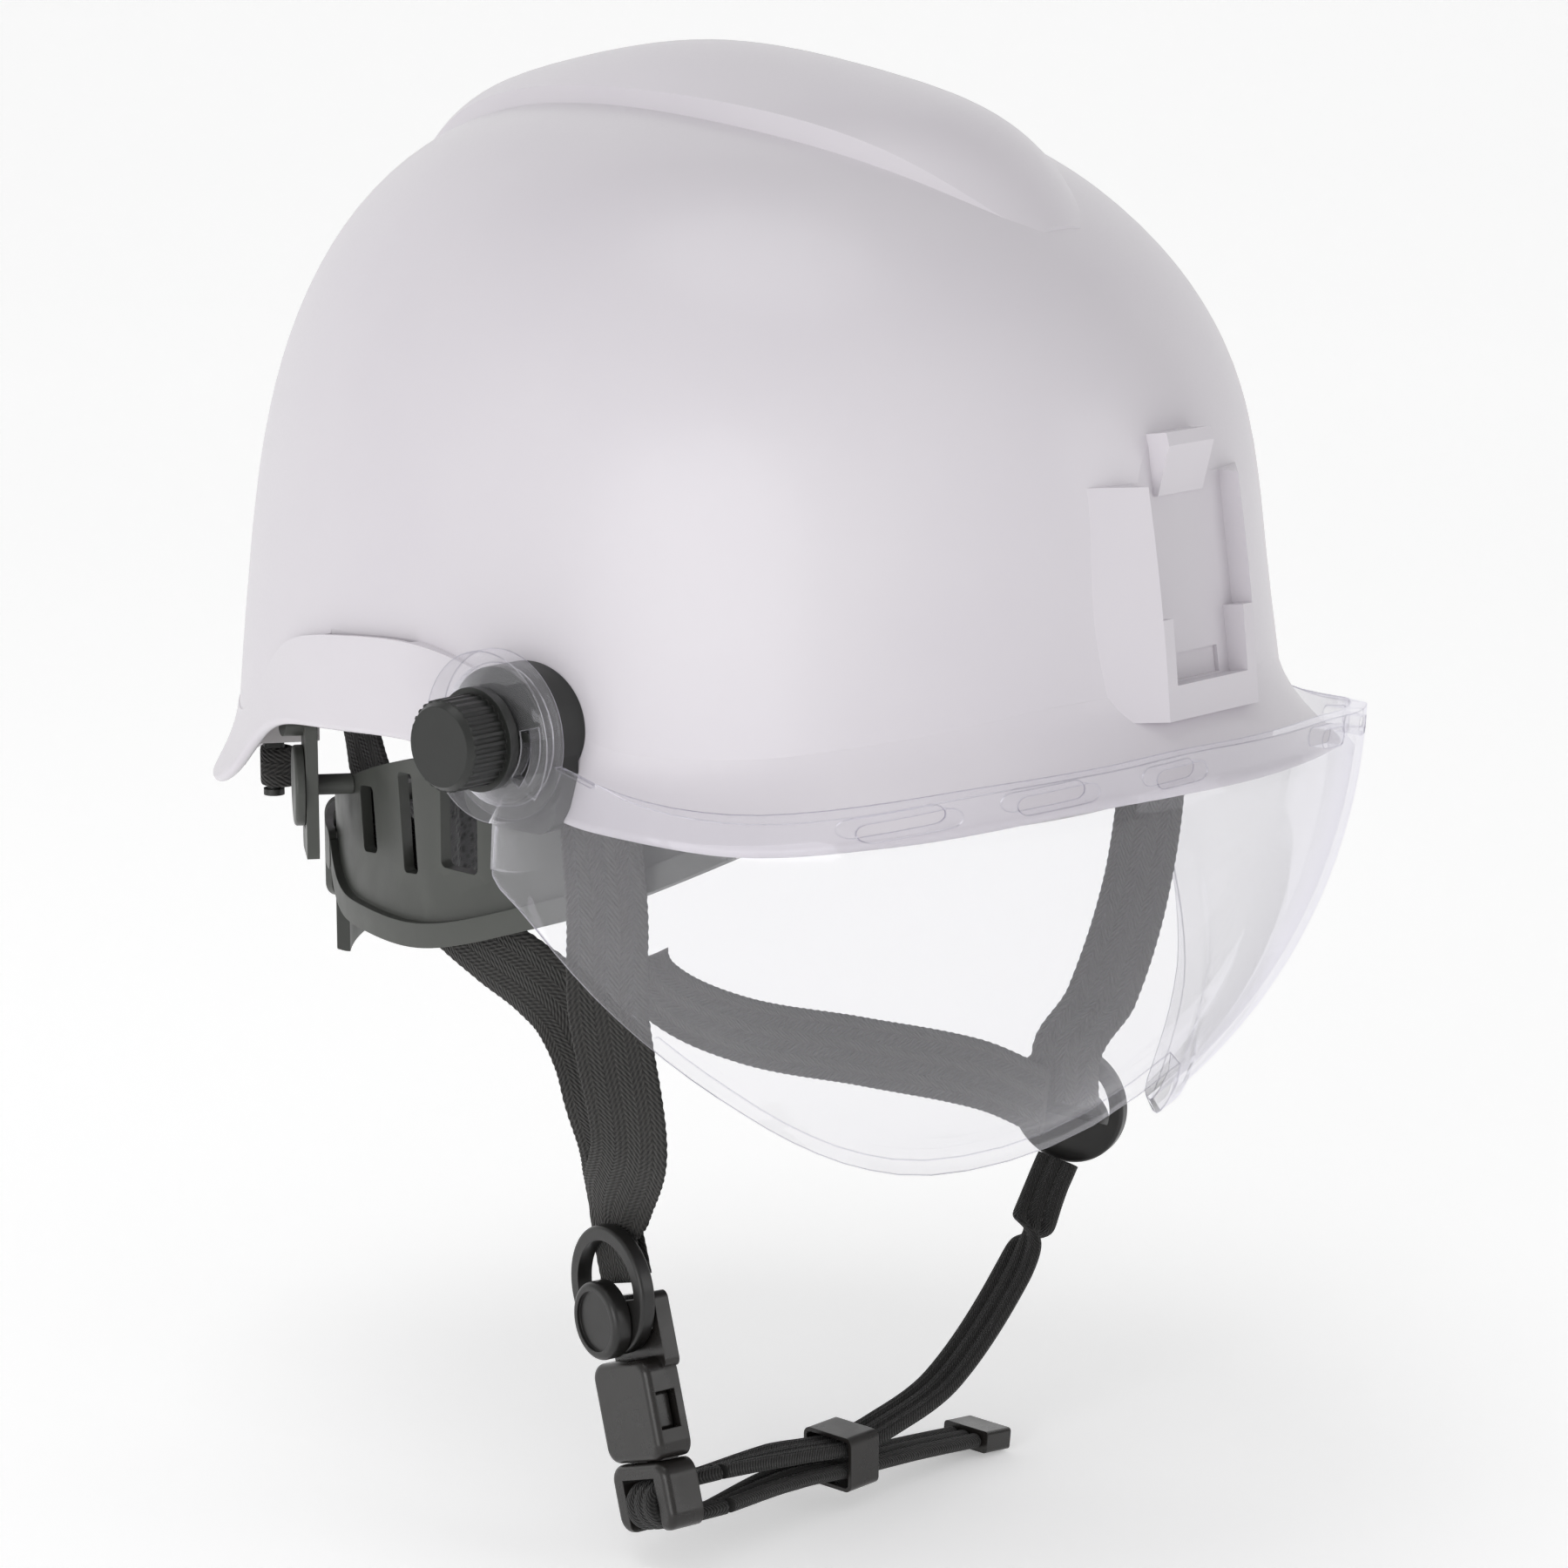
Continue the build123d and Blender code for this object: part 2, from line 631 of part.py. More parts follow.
with BuildPart() as rear_hook_loops:
    with BuildSketch(Plane.XY.offset(BRACKET_FOOT - 2.5)):
        with Locations(Location(HOOK, 110)):
            SlotOverall(11, 6.4)
            SlotOverall(8, 3.8, mode=Mode.SUBTRACT)
    extrude(amount=-10)
    mirror(about=Plane.YZ)
finish(rear_hook_loops.part, "rear_hook_loops")


def hanger_plane(outward):
    """Upright plane of the right hanger plate, x forwards, y up, z outwards."""
    along = Vector(0, 0, 1).cross(HANGER_NORMAL)
    return Plane(
        origin=HANGER_ORIGIN + HANGER_NORMAL * outward, x_dir=along, z_dir=HANGER_NORMAL
    )


with BuildPart() as hanger_plate_right:
    with BuildSketch(hanger_plane(0)):
        with Locations((0, 0.5)):
            RectangleRounded(17, 37, 4)
        with Locations((0, -HEADBAND_TRAVEL / 2)):
            SlotOverall(HEADBAND_TRAVEL + 2 * BUTTON_STEM + 0.6, 2 * BUTTON_STEM + 0.3,
                        rotation=90, mode=Mode.SUBTRACT)
    extrude(amount=HANGER_THICKNESS)
    # peg that snaps into the inside of the shell
    with BuildSketch(hanger_plane(HANGER_THICKNESS)):
        with Locations((0, 15)):
            Circle(2.8)
    extrude(amount=9)
    add(dome_solid(SHELL_WALL + CLEAR), mode=Mode.INTERSECT)
finish(hanger_plate_right.part, "hanger_plate_right")

with BuildPart() as hanger_plate_left:
    mirror(hanger_plate_right.part, about=Plane.YZ)
finish(hanger_plate_left.part, "hanger_plate_left")

# ---------------------------------------------------------------- headband
# side panel outline seen from the side, (Y, Z)
PANEL_TOP = ((-66, 3), (-30, 3), (14, 1.7), (41.7, -5.3), (78, -19))
PANEL_FOOT = ((72, -36), (62, -45), (48, -46), (22, -45), (-15, -35), (-36, -27.5), (-51, -20.5),
              (-66, -12.5))
RIM_THICKNESS = 2.2         # extra thickness of the panel's lower rim


def band_ring(inner, outer, foot, top):
    """Elliptical band between two offsets outside the headband's surface."""
    with BuildPart() as ring:
        with BuildSketch(Plane.XY.offset(foot)):
            Ellipse(BAND_HALF_WIDTH + outer, BAND_HALF_LENGTH + outer)
            Ellipse(BAND_HALF_WIDTH + inner, BAND_HALF_LENGTH + inner, mode=Mode.SUBTRACT)
        extrude(amount=top - foot)
    return ring.part


with BuildPart() as panel_wall:
    add(band_ring(-BAND_WALL, 0, -60, 10))
    with BuildSketch(Plane.YZ):
        with BuildLine():
            upper = Spline(*PANEL_TOP)
            lower = Spline(*PANEL_FOOT)
            Line(upper @ 1, lower @ 0)
            Line(lower @ 1, upper @ 0)
        make_face()
    extrude(amount=-120, mode=Mode.INTERSECT)
with BuildPart() as panel_rim:
    add(band_ring(-BAND_WALL, RIM_THICKNESS, -60, 10))
    with BuildSketch(Plane.YZ):
        with BuildLine():
            lower = Spline(*PANEL_FOOT)
            raised = Spline(*[(y, z + 6) for y, z in PANEL_FOOT])
            Line(lower @ 0, raised @ 0)
            Line(lower @ 1, raised @ 1)
        make_face()
    extrude(amount=-120, mode=Mode.INTERSECT)
with BuildPart() as headband_side_right:
    add([panel_wall.part, panel_rim.part])
    # two slots and the strap window
    with BuildSketch(Plane.YZ):
        with Locations(Location((46, -19), -8)):
            RectangleRounded(8, 16, 1.5)
        with Locations(Location((26, -16), -6)):
            RectangleRounded(6, 24, 1.2)
        with Locations((6, -13)):
            RectangleRounded(13, 22, 1.5)
    extrude(amount=-120, mode=Mode.SUBTRACT)
finish(headband_side_right.part, "headband_side_right")

with BuildPart() as headband_side_left:
    mirror(headband_side_right.part, about=Plane.YZ)
finish(headband_side_left.part, "headband_side_left")

with BuildPart() as brow_band:
    add(band_ring(-BAND_WALL, 0, -14, 16))
    with BuildSketch(Plane.YZ):
        with BuildLine():
            Polyline((-66.3, 16), (-66.3, -12.5), (-90, -8), (-120, -6), (-120, 16), close=True)
        make_face()
    extrude(amount=120, both=True, mode=Mode.INTERSECT)
finish(brow_band.part, "brow_band")

with BuildPart() as brow_pad:
    add(band_ring(-BAND_WALL - 6, -BAND_WALL - CLEAR, -9, 14))
    with BuildSketch(Plane.XY.offset(-10)):
        with Locations((0, -RIM_LENGTH / 2 - 34)):
            Rectangle(200, RIM_LENGTH / 2)
    extrude(amount=30, mode=Mode.INTERSECT)
finish(brow_pad.part, "brow_pad")

with BuildPart() as band_outside:
    with BuildSketch(Plane.XY.offset(-40)):
        Ellipse(BAND_HALF_WIDTH + 0.1, BAND_HALF_LENGTH + 0.1)
    extrude(amount=80)

with BuildPart() as hanger_buttons:
    with BuildSketch(hanger_plane(HANGER_THICKNESS + CLEAR)):
        Circle(HANGER_BUTTON_RADIUS)
    extrude(amount=2.4)
    fillet(hanger_buttons.edges().group_by(Axis(HANGER_ORIGIN, HANGER_NORMAL))[-1], 0.8)
    with BuildSketch(hanger_plane(HANGER_THICKNESS + 1)):
        Circle(BUTTON_STEM)
    extrude(amount=-16)
    add(band_outside.part, mode=Mode.SUBTRACT)
    mirror(about=Plane.YZ)
finish(hanger_buttons.part, "hanger_buttons")

# ---------------------------------------------------------------- crown suspension
CROWN_TOP = 118.0           # height of the crossing crown straps' lowest layer
STRAP_RING = (96, 126)      # half width and half length of the ring where the straps end
STRAP_FOOT = 38.0
ANCHOR_WIDTH = 22.0
ANCHOR_HEIGHT = 15.0
ANCHOR_FOOT = 28.0
SIDE_BEARING = 90           # degrees from the front, seen from above
DIAGONAL_BEARING = 32


def ring_run(bearing):
    """From the centre line to the end of a crown strap at a bearing."""
    turn = math.radians(bearing)
    return Vector(math.sin(turn) * STRAP_RING[0], -math.cos(turn) * STRAP_RING[1], 0)


def crown_strap(bearing, layer):
    """Flat strap arching over the head, from one anchor to the opposite one."""
    run = ring_run(bearing)
    crown = CROWN_TOP + layer * (WEBBING_THICKNESS + 0.3)
    shares = (-1, -0.93, -0.7, -0.36, 0, 0.36, 0.7, 0.93, 1)

    def edge(shrink):
        reach = run.length - shrink
        return [
            (share * reach, STRAP_FOOT + (crown - shrink - STRAP_FOOT) * (1 - share ** 4) ** 0.6)
            for share in shares
        ]

    with BuildPart() as strap:
        with BuildSketch(Plane(origin=(0, 0, 0), x_dir=run, z_dir=run.cross(Vector(0, 0, 1)))):
            with BuildLine():
                over = Spline(*edge(0))
                under = Spline(*edge(WEBBING_THICKNESS))
                Line(over @ 0, under @ 0)
                Line(over @ 1, under @ 1)
            make_face()
        extrude(amount=WEBBING_WIDTH / 2, both=True)
    return strap.part


finish(crown_strap(SIDE_BEARING, 0), "crown_strap_side")
finish(crown_strap(DIAGONAL_BEARING, 1), "crown_strap_diagonal_a")
finish(crown_strap(-DIAGONAL_BEARING, 2), "crown_strap_diagonal_b")

with BuildPart() as crown_pad:
    with BuildSketch(Plane.XY.offset(CROWN_TOP - 13)):
        Ellipse(34, 42)
        Ellipse(12, 16, mode=Mode.SUBTRACT)
    extrude(amount=6)
finish(crown_pad.part, "crown_pad")

with BuildPart() as strap_anchors:
    for side in (-1, 1):
        for bearing in (DIAGONAL_BEARING, SIDE_BEARING, 180 - DIAGONAL_BEARING):
            run = ring_run(side * bearing)
            outward = run.normalized()
            foot = run + outward * 0.6 + Vector(0, 0, ANCHOR_FOOT + ANCHOR_HEIGHT / 2)
            with BuildSketch(Plane(origin=foot, x_dir=Vector(0, 0, 1).cross(outward), z_dir=outward)):
                RectangleRounded(ANCHOR_WIDTH, ANCHOR_HEIGHT, 2)
            extrude(amount=20)
    add(dome_solid(SHELL_WALL + CLEAR), mode=Mode.INTERSECT)
finish(strap_anchors.part, "strap_anchors")

# ---------------------------------------------------------------- nape cradle and ratchet
DIAL_HEIGHT = -47.0
HOUSING_WIDTH = 60.0
HOUSING_HEIGHT = 25.2
CHANNEL_HEIGHT = 18.8
CHANNEL_FLOOR = 113.0       # along Y
HOUSING_BACK = 119.0
COVER_THICKNESS = 2.4
RACK_THICKNESS = 3.0
PINION_TEETH = 10
PITCH_RADIUS = 5.0
TOOTH_WIDTH = 0.9
PITCH = 2 * math.pi * PITCH_RADIUS / PINION_TEETH
DIAL_SHAFT = 2.5
SCREW_RADIUS = 1.1
SCREW_SPOTS = (48.0, 22.0)  # spacing along X and Z


def nape_plane(y):
    """Upright plane at the nape centred on the dial, x to the wearer's right, y up, z backwards."""
    return Plane(origin=(0, y, DIAL_HEIGHT), x_dir=(-1, 0, 0), z_dir=(0, 1, 0))


with BuildPart() as nape_cradle:
    add(band_ring(-BAND_WALL, 0, -64, -29))
    with BuildSketch(nape_plane(84)):
        RectangleRounded(130, 33, 10)
    extrude(amount=60, mode=Mode.INTERSECT)
    with BuildSketch(nape_plane(BAND_HALF_LENGTH - 3)):
        RectangleRounded(HOUSING_WIDTH, HOUSING_HEIGHT, 3)
    extrude(amount=HOUSING_BACK - BAND_HALF_LENGTH + 3)
    with BuildSketch(nape_plane(CHANNEL_FLOOR)):
        Rectangle(HOUSING_WIDTH + 2, CHANNEL_HEIGHT)
    extrude(amount=20, mode=Mode.SUBTRACT)
    with BuildSketch(nape_plane(HOUSING_BACK)):
        with GridLocations(*SCREW_SPOTS, 2, 2):
            Circle(SCREW_RADIUS + 0.05)
    extrude(amount=-7, mode=Mode.SUBTRACT)
finish(nape_cradle.part, "nape_cradle")

with BuildPart() as nape_cover:
    with BuildSketch(nape_plane(HOUSING_BACK + 0.1)):
        RectangleRounded(HOUSING_WIDTH + 2, HOUSING_HEIGHT + 1, 4)
        Circle(4.5, mode=Mode.SUBTRACT)
    extrude(amount=COVER_THICKNESS)
    with BuildSketch(nape_plane(HOUSING_BACK)):
        with GridLocations(*SCREW_SPOTS, 2, 2):
            Circle(SCREW_RADIUS + 0.05)
    extrude(amount=COVER_THICKNESS + 1, mode=Mode.SUBTRACT)
    with BuildSketch(nape_plane(HOUSING_BACK + COVER_THICKNESS + 0.1)):
        with GridLocations(*SCREW_SPOTS, 2, 2):
            Circle(2.2)
    extrude(amount=-1.3, mode=Mode.SUBTRACT)
finish(nape_cover.part, "nape_cover")

with BuildPart() as cover_screws:
    with BuildSketch(nape_plane(HOUSING_BACK + COVER_THICKNESS + 0.1)):
        with GridLocations(*SCREW_SPOTS, 2, 2):
            Circle(2.0)
    extrude(amount=-1.2)
    with BuildSketch(nape_plane(HOUSING_BACK + COVER_THICKNESS)):
        with GridLocations(*SCREW_SPOTS, 2, 2):
            Circle(SCREW_RADIUS)
    extrude(amount=-8)
    with BuildSketch(nape_plane(HOUSING_BACK + COVER_THICKNESS + 0.1)):
        with GridLocations(*SCREW_SPOTS, 2, 2):
            Rectangle(2.2, 0.5)
            Rectangle(0.5, 2.2)
    extrude(amount=-0.6, mode=Mode.SUBTRACT)
finish(cover_screws.part, "cover_screws")

with BuildPart() as nape_pad:
    add(band_ring(-BAND_WALL - 6.5, -BAND_WALL - CLEAR, -62, -31))
    with BuildSketch(nape_plane(88)):
        RectangleRounded(110, 29, 9)
    extrude(amount=60, mode=Mode.INTERSECT)
finish(nape_pad.part, "nape_pad")


with BuildPart() as rack_right:
    rack_root = PITCH_RADIUS + 1.3
    with BuildSketch(nape_plane(CHANNEL_FLOOR + 0.3)):
        with Locations((11, rack_root + 1.4)):
            Rectangle(46, 2.8)
        for tooth in range(-4, 7):
            with Locations(((tooth + 0.5) * PITCH, rack_root - 0.9)):
                Rectangle(TOOTH_WIDTH, 2.2)
    extrude(amount=RACK_THICKNESS)
finish(rack_right.part, "rack_right")

# the left band end is the right one turned half round about the dial's axis
rack_left = rack_right.part.rotate(Axis((0, 0, DIAL_HEIGHT), (0, 1, 0)), 180)
finish(rack_left, "rack_left")

with BuildPart() as band_tail_right:
    add(band_ring(0.4, 2.4, -39, -27))
    with BuildSketch(Plane.YZ):
        with Locations((86, -33)):
            RectangleRounded(28, 10, 3)
    extrude(amount=-120, mode=Mode.INTERSECT)
finish(band_tail_right.part, "band_tail_right")

with BuildPart() as band_tail_left:
    mirror(band_tail_right.part, about=Plane.YZ)
finish(band_tail_left.part, "band_tail_left")

with BuildPart() as ratchet_pinion:
    with BuildSketch(nape_plane(CHANNEL_FLOOR + 0.3)):
        Circle(PITCH_RADIUS - 1)
        with PolarLocations(PITCH_RADIUS - 0.5, PINION_TEETH, start_angle=90):
            Rectangle(3, TOOTH_WIDTH)
        Circle(DIAL_SHAFT + 0.05, mode=Mode.SUBTRACT)
    extrude(amount=RACK_THICKNESS)
finish(ratchet_pinion.part, "ratchet_pinion")

with BuildPart() as detent_spring:
    with BuildSketch(nape_plane(CHANNEL_FLOOR + RACK_THICKNESS + 0.8)):
        Circle(7.5)
        with PolarLocations(9, 2):
            Rectangle(9, 3)
        Circle(5.5, mode=Mode.SUBTRACT)
    extrude(amount=0.8)
finish(detent_spring.part, "detent_spring")

DIAL_RADIUS = 14.0
with BuildPart() as ratchet_dial:
    with BuildSketch(nape_plane(HOUSING_BACK + COVER_THICKNESS + 0.6)):
        Circle(DIAL_RADIUS)
        with PolarLocations(DIAL_RADIUS + 1.6, 12):
            Circle(2.6, mode=Mode.SUBTRACT)
    extrude(amount=9)
    fillet(ratchet_dial.faces().sort_by(Axis.Y)[-1].edges(), 1.2)
    with BuildSketch(nape_plane(HOUSING_BACK + COVER_THICKNESS + 0.6)):
        Circle(DIAL_SHAFT)
    extrude(amount=-9)
    with BuildSketch(nape_plane(HOUSING_BACK + COVER_THICKNESS + 0.6)):
        Circle(4.0)
    extrude(amount=-2.8)
finish(ratchet_dial.part, "ratchet_dial")

# ---------------------------------------------------------------- strap sliders and their buttons
RIGHT_SLIDER = Vector(-76, -25.4, -123.3)
LEFT_SLIDER = Vector(75, -42.4, -105)
RING_RADIUS = 15.5
RING_OPENING = 12.0
RING_THICKNESS = 4.0
BUTTON_RADIUS = 9.4
BUTTON_CENTRE = -6.5        # below the ring's centre


def slider_plane(outward, side=-1):
    """Plane of a slider ring: x along the ring, forwards on the right, y up the strap, z outwards."""
    if side < 0:
        normal = Vector(-0.98, 0.2, 0).normalized()
        up = Vector(0, 0.33, 0.94)
        centre = RIGHT_SLIDER
    else:
        normal = Vector(0.96, 0.28, 0.05).normalized()
        up = Vector(0.22, -0.02, 0.97)
        centre = LEFT_SLIDER
    up = (up - normal * up.dot(normal)).normalized()
    return Plane(origin=centre + normal * outward, x_dir=up.cross(normal), z_dir=normal)


def slider_ring(side):
    """Oval ring with a solid seat for the button."""
    with BuildPart() as ring:
        with BuildSketch(slider_plane(-RING_THICKNESS, side)):
            Circle(RING_RADIUS)
            with BuildSketch(mode=Mode.PRIVATE) as opening:
                Circle(RING_OPENING)
                with Locations((0, -RING_OPENING - 1.5)):
                    Rectangle(2 * RING_OPENING, 2 * RING_OPENING - 3, mode=Mode.SUBTRACT)
            add(opening.sketch, mode=Mode.SUBTRACT)
        extrude(amount=RING_THICKNESS)
        fillet(ring.faces().filter_by(GeomType.CYLINDER).sort_by(SortBy.AREA)[-1].edges(), 0.9)
    return ring.part


def slider_button(side):
    """Dished round button that flips out to free the straps."""
    with BuildPart() as button:
        with BuildSketch(slider_plane(0.4, side)):
            with Locations((0, BUTTON_CENTRE)):
                Circle(BUTTON_RADIUS)
        extrude(amount=4.4)
        fillet(button.edges().sort_by(Axis(slider_plane(0, side).origin,
                                           slider_plane(0, side).z_dir))[-1], 1.4)
        with BuildSketch(slider_plane(20.2, side)):
            with Locations((0, BUTTON_CENTRE)):
                Circle(7.2)
        extrude(amount=-16.2, mode=Mode.SUBTRACT)
    return button.part


finish(slider_ring(-1), "strap_slider_right")
finish(slider_ring(1), "strap_slider_left")
finish(slider_button(-1), "slider_button_right")
finish(slider_button(1), "slider_button_left")

# ---------------------------------------------------------------- side-release buckle
BUCKLE_WIDTH = 24.0
SOCKET_TOP = -17.0          # along the right slider plane's y
SOCKET_FOOT = -41.0
SOCKET_FACE = 1.0
BUCKLE_THICKNESS = 9.0
CAVITY_HALF = 9.6
CAVITY_BACK = -6.2
CAVITY_DEPTH = 5.4
PLUG_FOOT = -57.5
BAR_HEIGHT = -51.5
BAR_RADIUS = 2.0
BAR_DEPTH = -3.0            # of the bar's axis below the ring's face
PLUG_BLOCK = -44.9          # foot of the plug's solid top
PLUG_OPENING = 14.0
BUCKLE_ROUNDING = 1.8       # round the front of both halves
BUCKLE_AXIS = Axis(slider_plane(0).origin, slider_plane(0).z_dir)


with BuildPart() as buckle_socket:
    with BuildSketch(slider_plane(SOCKET_FACE)):
        with Locations((0, (SOCKET_TOP + SOCKET_FOOT) / 2)):
            RectangleRounded(BUCKLE_WIDTH, SOCKET_TOP - SOCKET_FOOT, 4)
    extrude(amount=-BUCKLE_THICKNESS)
    fillet(buckle_socket.edges().group_by(BUCKLE_AXIS)[-1], BUCKLE_ROUNDING)
    # tab behind the ring that holds the webbing
    with BuildSketch(slider_plane(-RING_THICKNESS - 4.6)):
        with Locations((2, SOCKET_TOP + 6)):
            RectangleRounded(22, 18, 2)
        with Locations((2, SOCKET_TOP + 8)):
            Rectangle(16, 3, mode=Mode.SUBTRACT)
    extrude(amount=4)
    with BuildSketch(slider_plane(CAVITY_BACK)):
        with Locations((0, SOCKET_FOOT)):
            Rectangle(2 * CAVITY_HALF, 2 * (SOCKET_TOP - SOCKET_FOOT - 3))
    extrude(amount=CAVITY_DEPTH, mode=Mode.SUBTRACT)
    # finger notches in both sides
    with BuildSketch(slider_plane(CAVITY_BACK)):
        with Locations((0, -29.5)):
            RectangleRounded(BUCKLE_WIDTH + 10, 9, 2)
    extrude(amount=CAVITY_DEPTH, mode=Mode.SUBTRACT)
finish(buckle_socket.part, "buckle_socket")

with BuildPart() as buckle_plug:
    plug_top = SOCKET_FOOT - 0.3
    with BuildSketch(slider_plane(SOCKET_FACE)):
        with Locations((0, (plug_top + PLUG_FOOT) / 2)):
            RectangleRounded(BUCKLE_WIDTH, plug_top - PLUG_FOOT, 4)
    extrude(amount=-BUCKLE_THICKNESS)
    fillet(buckle_plug.edges().group_by(BUCKLE_AXIS)[-1], BUCKLE_ROUNDING)
    # open foot, so that the strap can wrap round the bar
    with BuildSketch(slider_plane(SOCKET_FACE)):
        with Locations((0, PLUG_FOOT - 4)):
            Rectangle(PLUG_OPENING, 2 * (PLUG_BLOCK - PLUG_FOOT + 4))
    extrude(amount=-BUCKLE_THICKNESS, mode=Mode.SUBTRACT)
    with BuildSketch(Plane(origin=slider_plane(BAR_DEPTH).from_local_coords((-9, BAR_HEIGHT, 0)),
                           z_dir=slider_plane(0).x_dir)):
        Circle(BAR_RADIUS)
    extrude(amount=18)
    # guide blade between the prongs
    with BuildSketch(slider_plane(CAVITY_BACK + 0.5)):
        with Locations((0, -34)):
            Rectangle(4, 17)
    extrude(amount=CAVITY_DEPTH - 1)
finish(buckle_plug.part, "buckle_plug")


def prong(side):
    """Spring prong beside the guide blade, thicker where the finger presses it."""
    with BuildPart() as arm:
        with BuildSketch(slider_plane(CAVITY_BACK + 0.5)):
            with BuildLine():
                Polyline(
                    (side * 6.2, -41.1),
                    (side * 9.0, -41.1),
                    (side * 8.2, -36),
                    (side * 9.4, -33.4),
                    (side * 9.4, -26),
                    (side * 7.4, -21),
                    (side * 6.2, -21),
                    close=True,
                )
            make_face()
        extrude(amount=CAVITY_DEPTH - 1)
    return arm.part


finish(prong(1), "buckle_prong_front")
finish(prong(-1), "buckle_prong_back")

# ---------------------------------------------------------------- straps
CHIN_WIDTH = 11.5
CHIN_THICKNESS = 3.6
LAYER = BAR_RADIUS + 0.3 + CHIN_THICKNESS / 2    # from the bar's axis to the strap's middle
LOOP_LEG = 16.0             # from the plug's bar to where the chin strap proper starts
LOOP_GAP = 2.6
KEEPER_HEIGHT = 13.8        # leaves room for the straps to bend within the keeper's travel
KEEPER_WALL = 1.0
KEEPER_ROOM = 2.2           # of play across the strap

with BuildPart() as chin_strap_loop:
    loop_plane = Plane(
        origin=slider_plane(BAR_DEPTH).from_local_coords((-CHIN_WIDTH / 2, BAR_HEIGHT, 0)),
        x_dir=slider_plane(0).y_dir,
        z_dir=slider_plane(0).x_dir,
    )
    outer = LAYER + CHIN_THICKNESS / 2
    inner = LAYER - CHIN_THICKNESS / 2
    with BuildSketch(loop_plane):
        Circle(outer)
        with Locations((0, -LOOP_LEG / 2)):
            Rectangle(2 * outer, LOOP_LEG)
        Circle(inner, mode=Mode.SUBTRACT)
        with Locations((0, -LOOP_LEG / 2)):
            Rectangle(2 * inner, LOOP_LEG, mode=Mode.SUBTRACT)
    extrude(amount=CHIN_WIDTH)
finish(chin_strap_loop.part, "chin_strap_loop")


def local_point(x, y, outward):
    """Point given in the right slider's plane, as a plain tuple."""
    return tuple(slider_plane(outward).from_local_coords((x, y, 0)))


ALONG_RIGHT = tuple(slider_plane(0).x_dir)
ALONG_LEFT = tuple(slider_plane(0, 1).x_dir)
ACROSS_CHIN = (0, -1, 0)

chin_strap = tape(
    [
        (tuple(slider_plane(-6.5, 1).from_local_coords((0, -14, 0))), ALONG_LEFT),
        ((65.5, -42.5, -125), ALONG_LEFT),
        ((50, -44, -145), ACROSS_CHIN),
        ((24, -44, -166), ACROSS_CHIN),
        ((0, -44, -172.4), ACROSS_CHIN),
        ((-14, -44, -173.2), ACROSS_CHIN),
        ((-36, -44.4, -170), ACROSS_CHIN),
        (local_point(0, BAR_HEIGHT + LAYER, BAR_DEPTH - LOOP_LEG - LOOP_GAP), ALONG_RIGHT),
    ],
    CHIN_WIDTH,
    CHIN_THICKNESS,
)
finish(chin_strap, "chin_strap")

chin_strap_tail = tape(
    [
        (local_point(0, BAR_HEIGHT - LAYER, BAR_DEPTH - LOOP_LEG - LOOP_GAP), ALONG_RIGHT),
        ((-36, -45.2, -176), ACROSS_CHIN),
        ((-14, -44.5, -178.6), ACROSS_CHIN),
        ((10, -44, -181), ACROSS_CHIN),
        ((32, -44, -183.6), ACROSS_CHIN),
    ],
    CHIN_WIDTH,
    CHIN_THICKNESS,
)
finish(chin_strap_tail, "chin_strap_tail")

with BuildPart() as strap_keeper:
    with BuildSketch(Plane.YZ.offset(-19)):
        with Locations((-44.2, -175.9)):
            RectangleRounded(CHIN_WIDTH + KEEPER_ROOM + 2 * KEEPER_WALL, KEEPER_HEIGHT, 2)
            RectangleRounded(
                CHIN_WIDTH + KEEPER_ROOM, KEEPER_HEIGHT - 2 * KEEPER_WALL, 1, mode=Mode.SUBTRACT
            )
    extrude(amount=10)
finish(strap_keeper.part, "strap_keeper")

with BuildPart() as strap_end_clip:
    with BuildSketch(Plane(origin=(32.6, -44, -183.7), x_dir=(0, 1, 0), z_dir=(1, 0, -0.12))):
        RectangleRounded(CHIN_WIDTH + 3, CHIN_THICKNESS + 2, 1)
    extrude(amount=9)
finish(strap_end_clip.part, "strap_end_clip")

UPRIGHT = (0, 0, 1)
REARWARDS = (0, 1, 0)
front_strap_right = tape(
    [
        ((-96, -44, 8), (0.35, -0.94, 0)),
        ((-95, -44, -6), (0.5, -0.87, 0)),
        ((-92, -43, -26), (0.6, -0.8, 0)),
        ((-88, -39, -50), (0.6, -0.8, 0)),
        ((-80, -37.5, -84), (0.4, -0.92, 0)),
        (local_point(1, 16, -5.2), ALONG_RIGHT),
        (local_point(0, 1, -5.2), ALONG_RIGHT),
    ]
)
finish(front_strap_right, "front_strap_right")

rear_strap_right = tape(
    [
        ((-56, 90, 8), UPRIGHT),
        ((-58.5, 81, 3), UPRIGHT),
        ((-65.5, 68, -6), (0, -0.45, 0.9)),
        ((-73.5, 54, -16), (0, -0.45, 0.9)),
        ((-80, 39, -26), (0, -0.5, 0.87)),
        ((-84.3, 22, -35), (0, -0.45, 0.9)),
        ((-86.2, 4, -42), (0, -0.4, 0.92)),
        ((-86.3, -11, -47), (0.1, -0.5, 0.86)),
        ((-85.5, -22, -53), (0.3, -0.7, 0.65)),
        ((-83, -28, -64), (0.45, -0.85, 0.3)),
        ((-80.5, -29.5, -77), (0.4, -0.92, 0.05)),
        ((-74.3, -28, -91), (0.4, -0.92, 0)),
        (local_point(-1.5, 16, -8.4), ALONG_RIGHT),
        (local_point(-1.5, 2, -8.4), ALONG_RIGHT),
    ]
)
finish(rear_strap_right, "rear_strap_right")

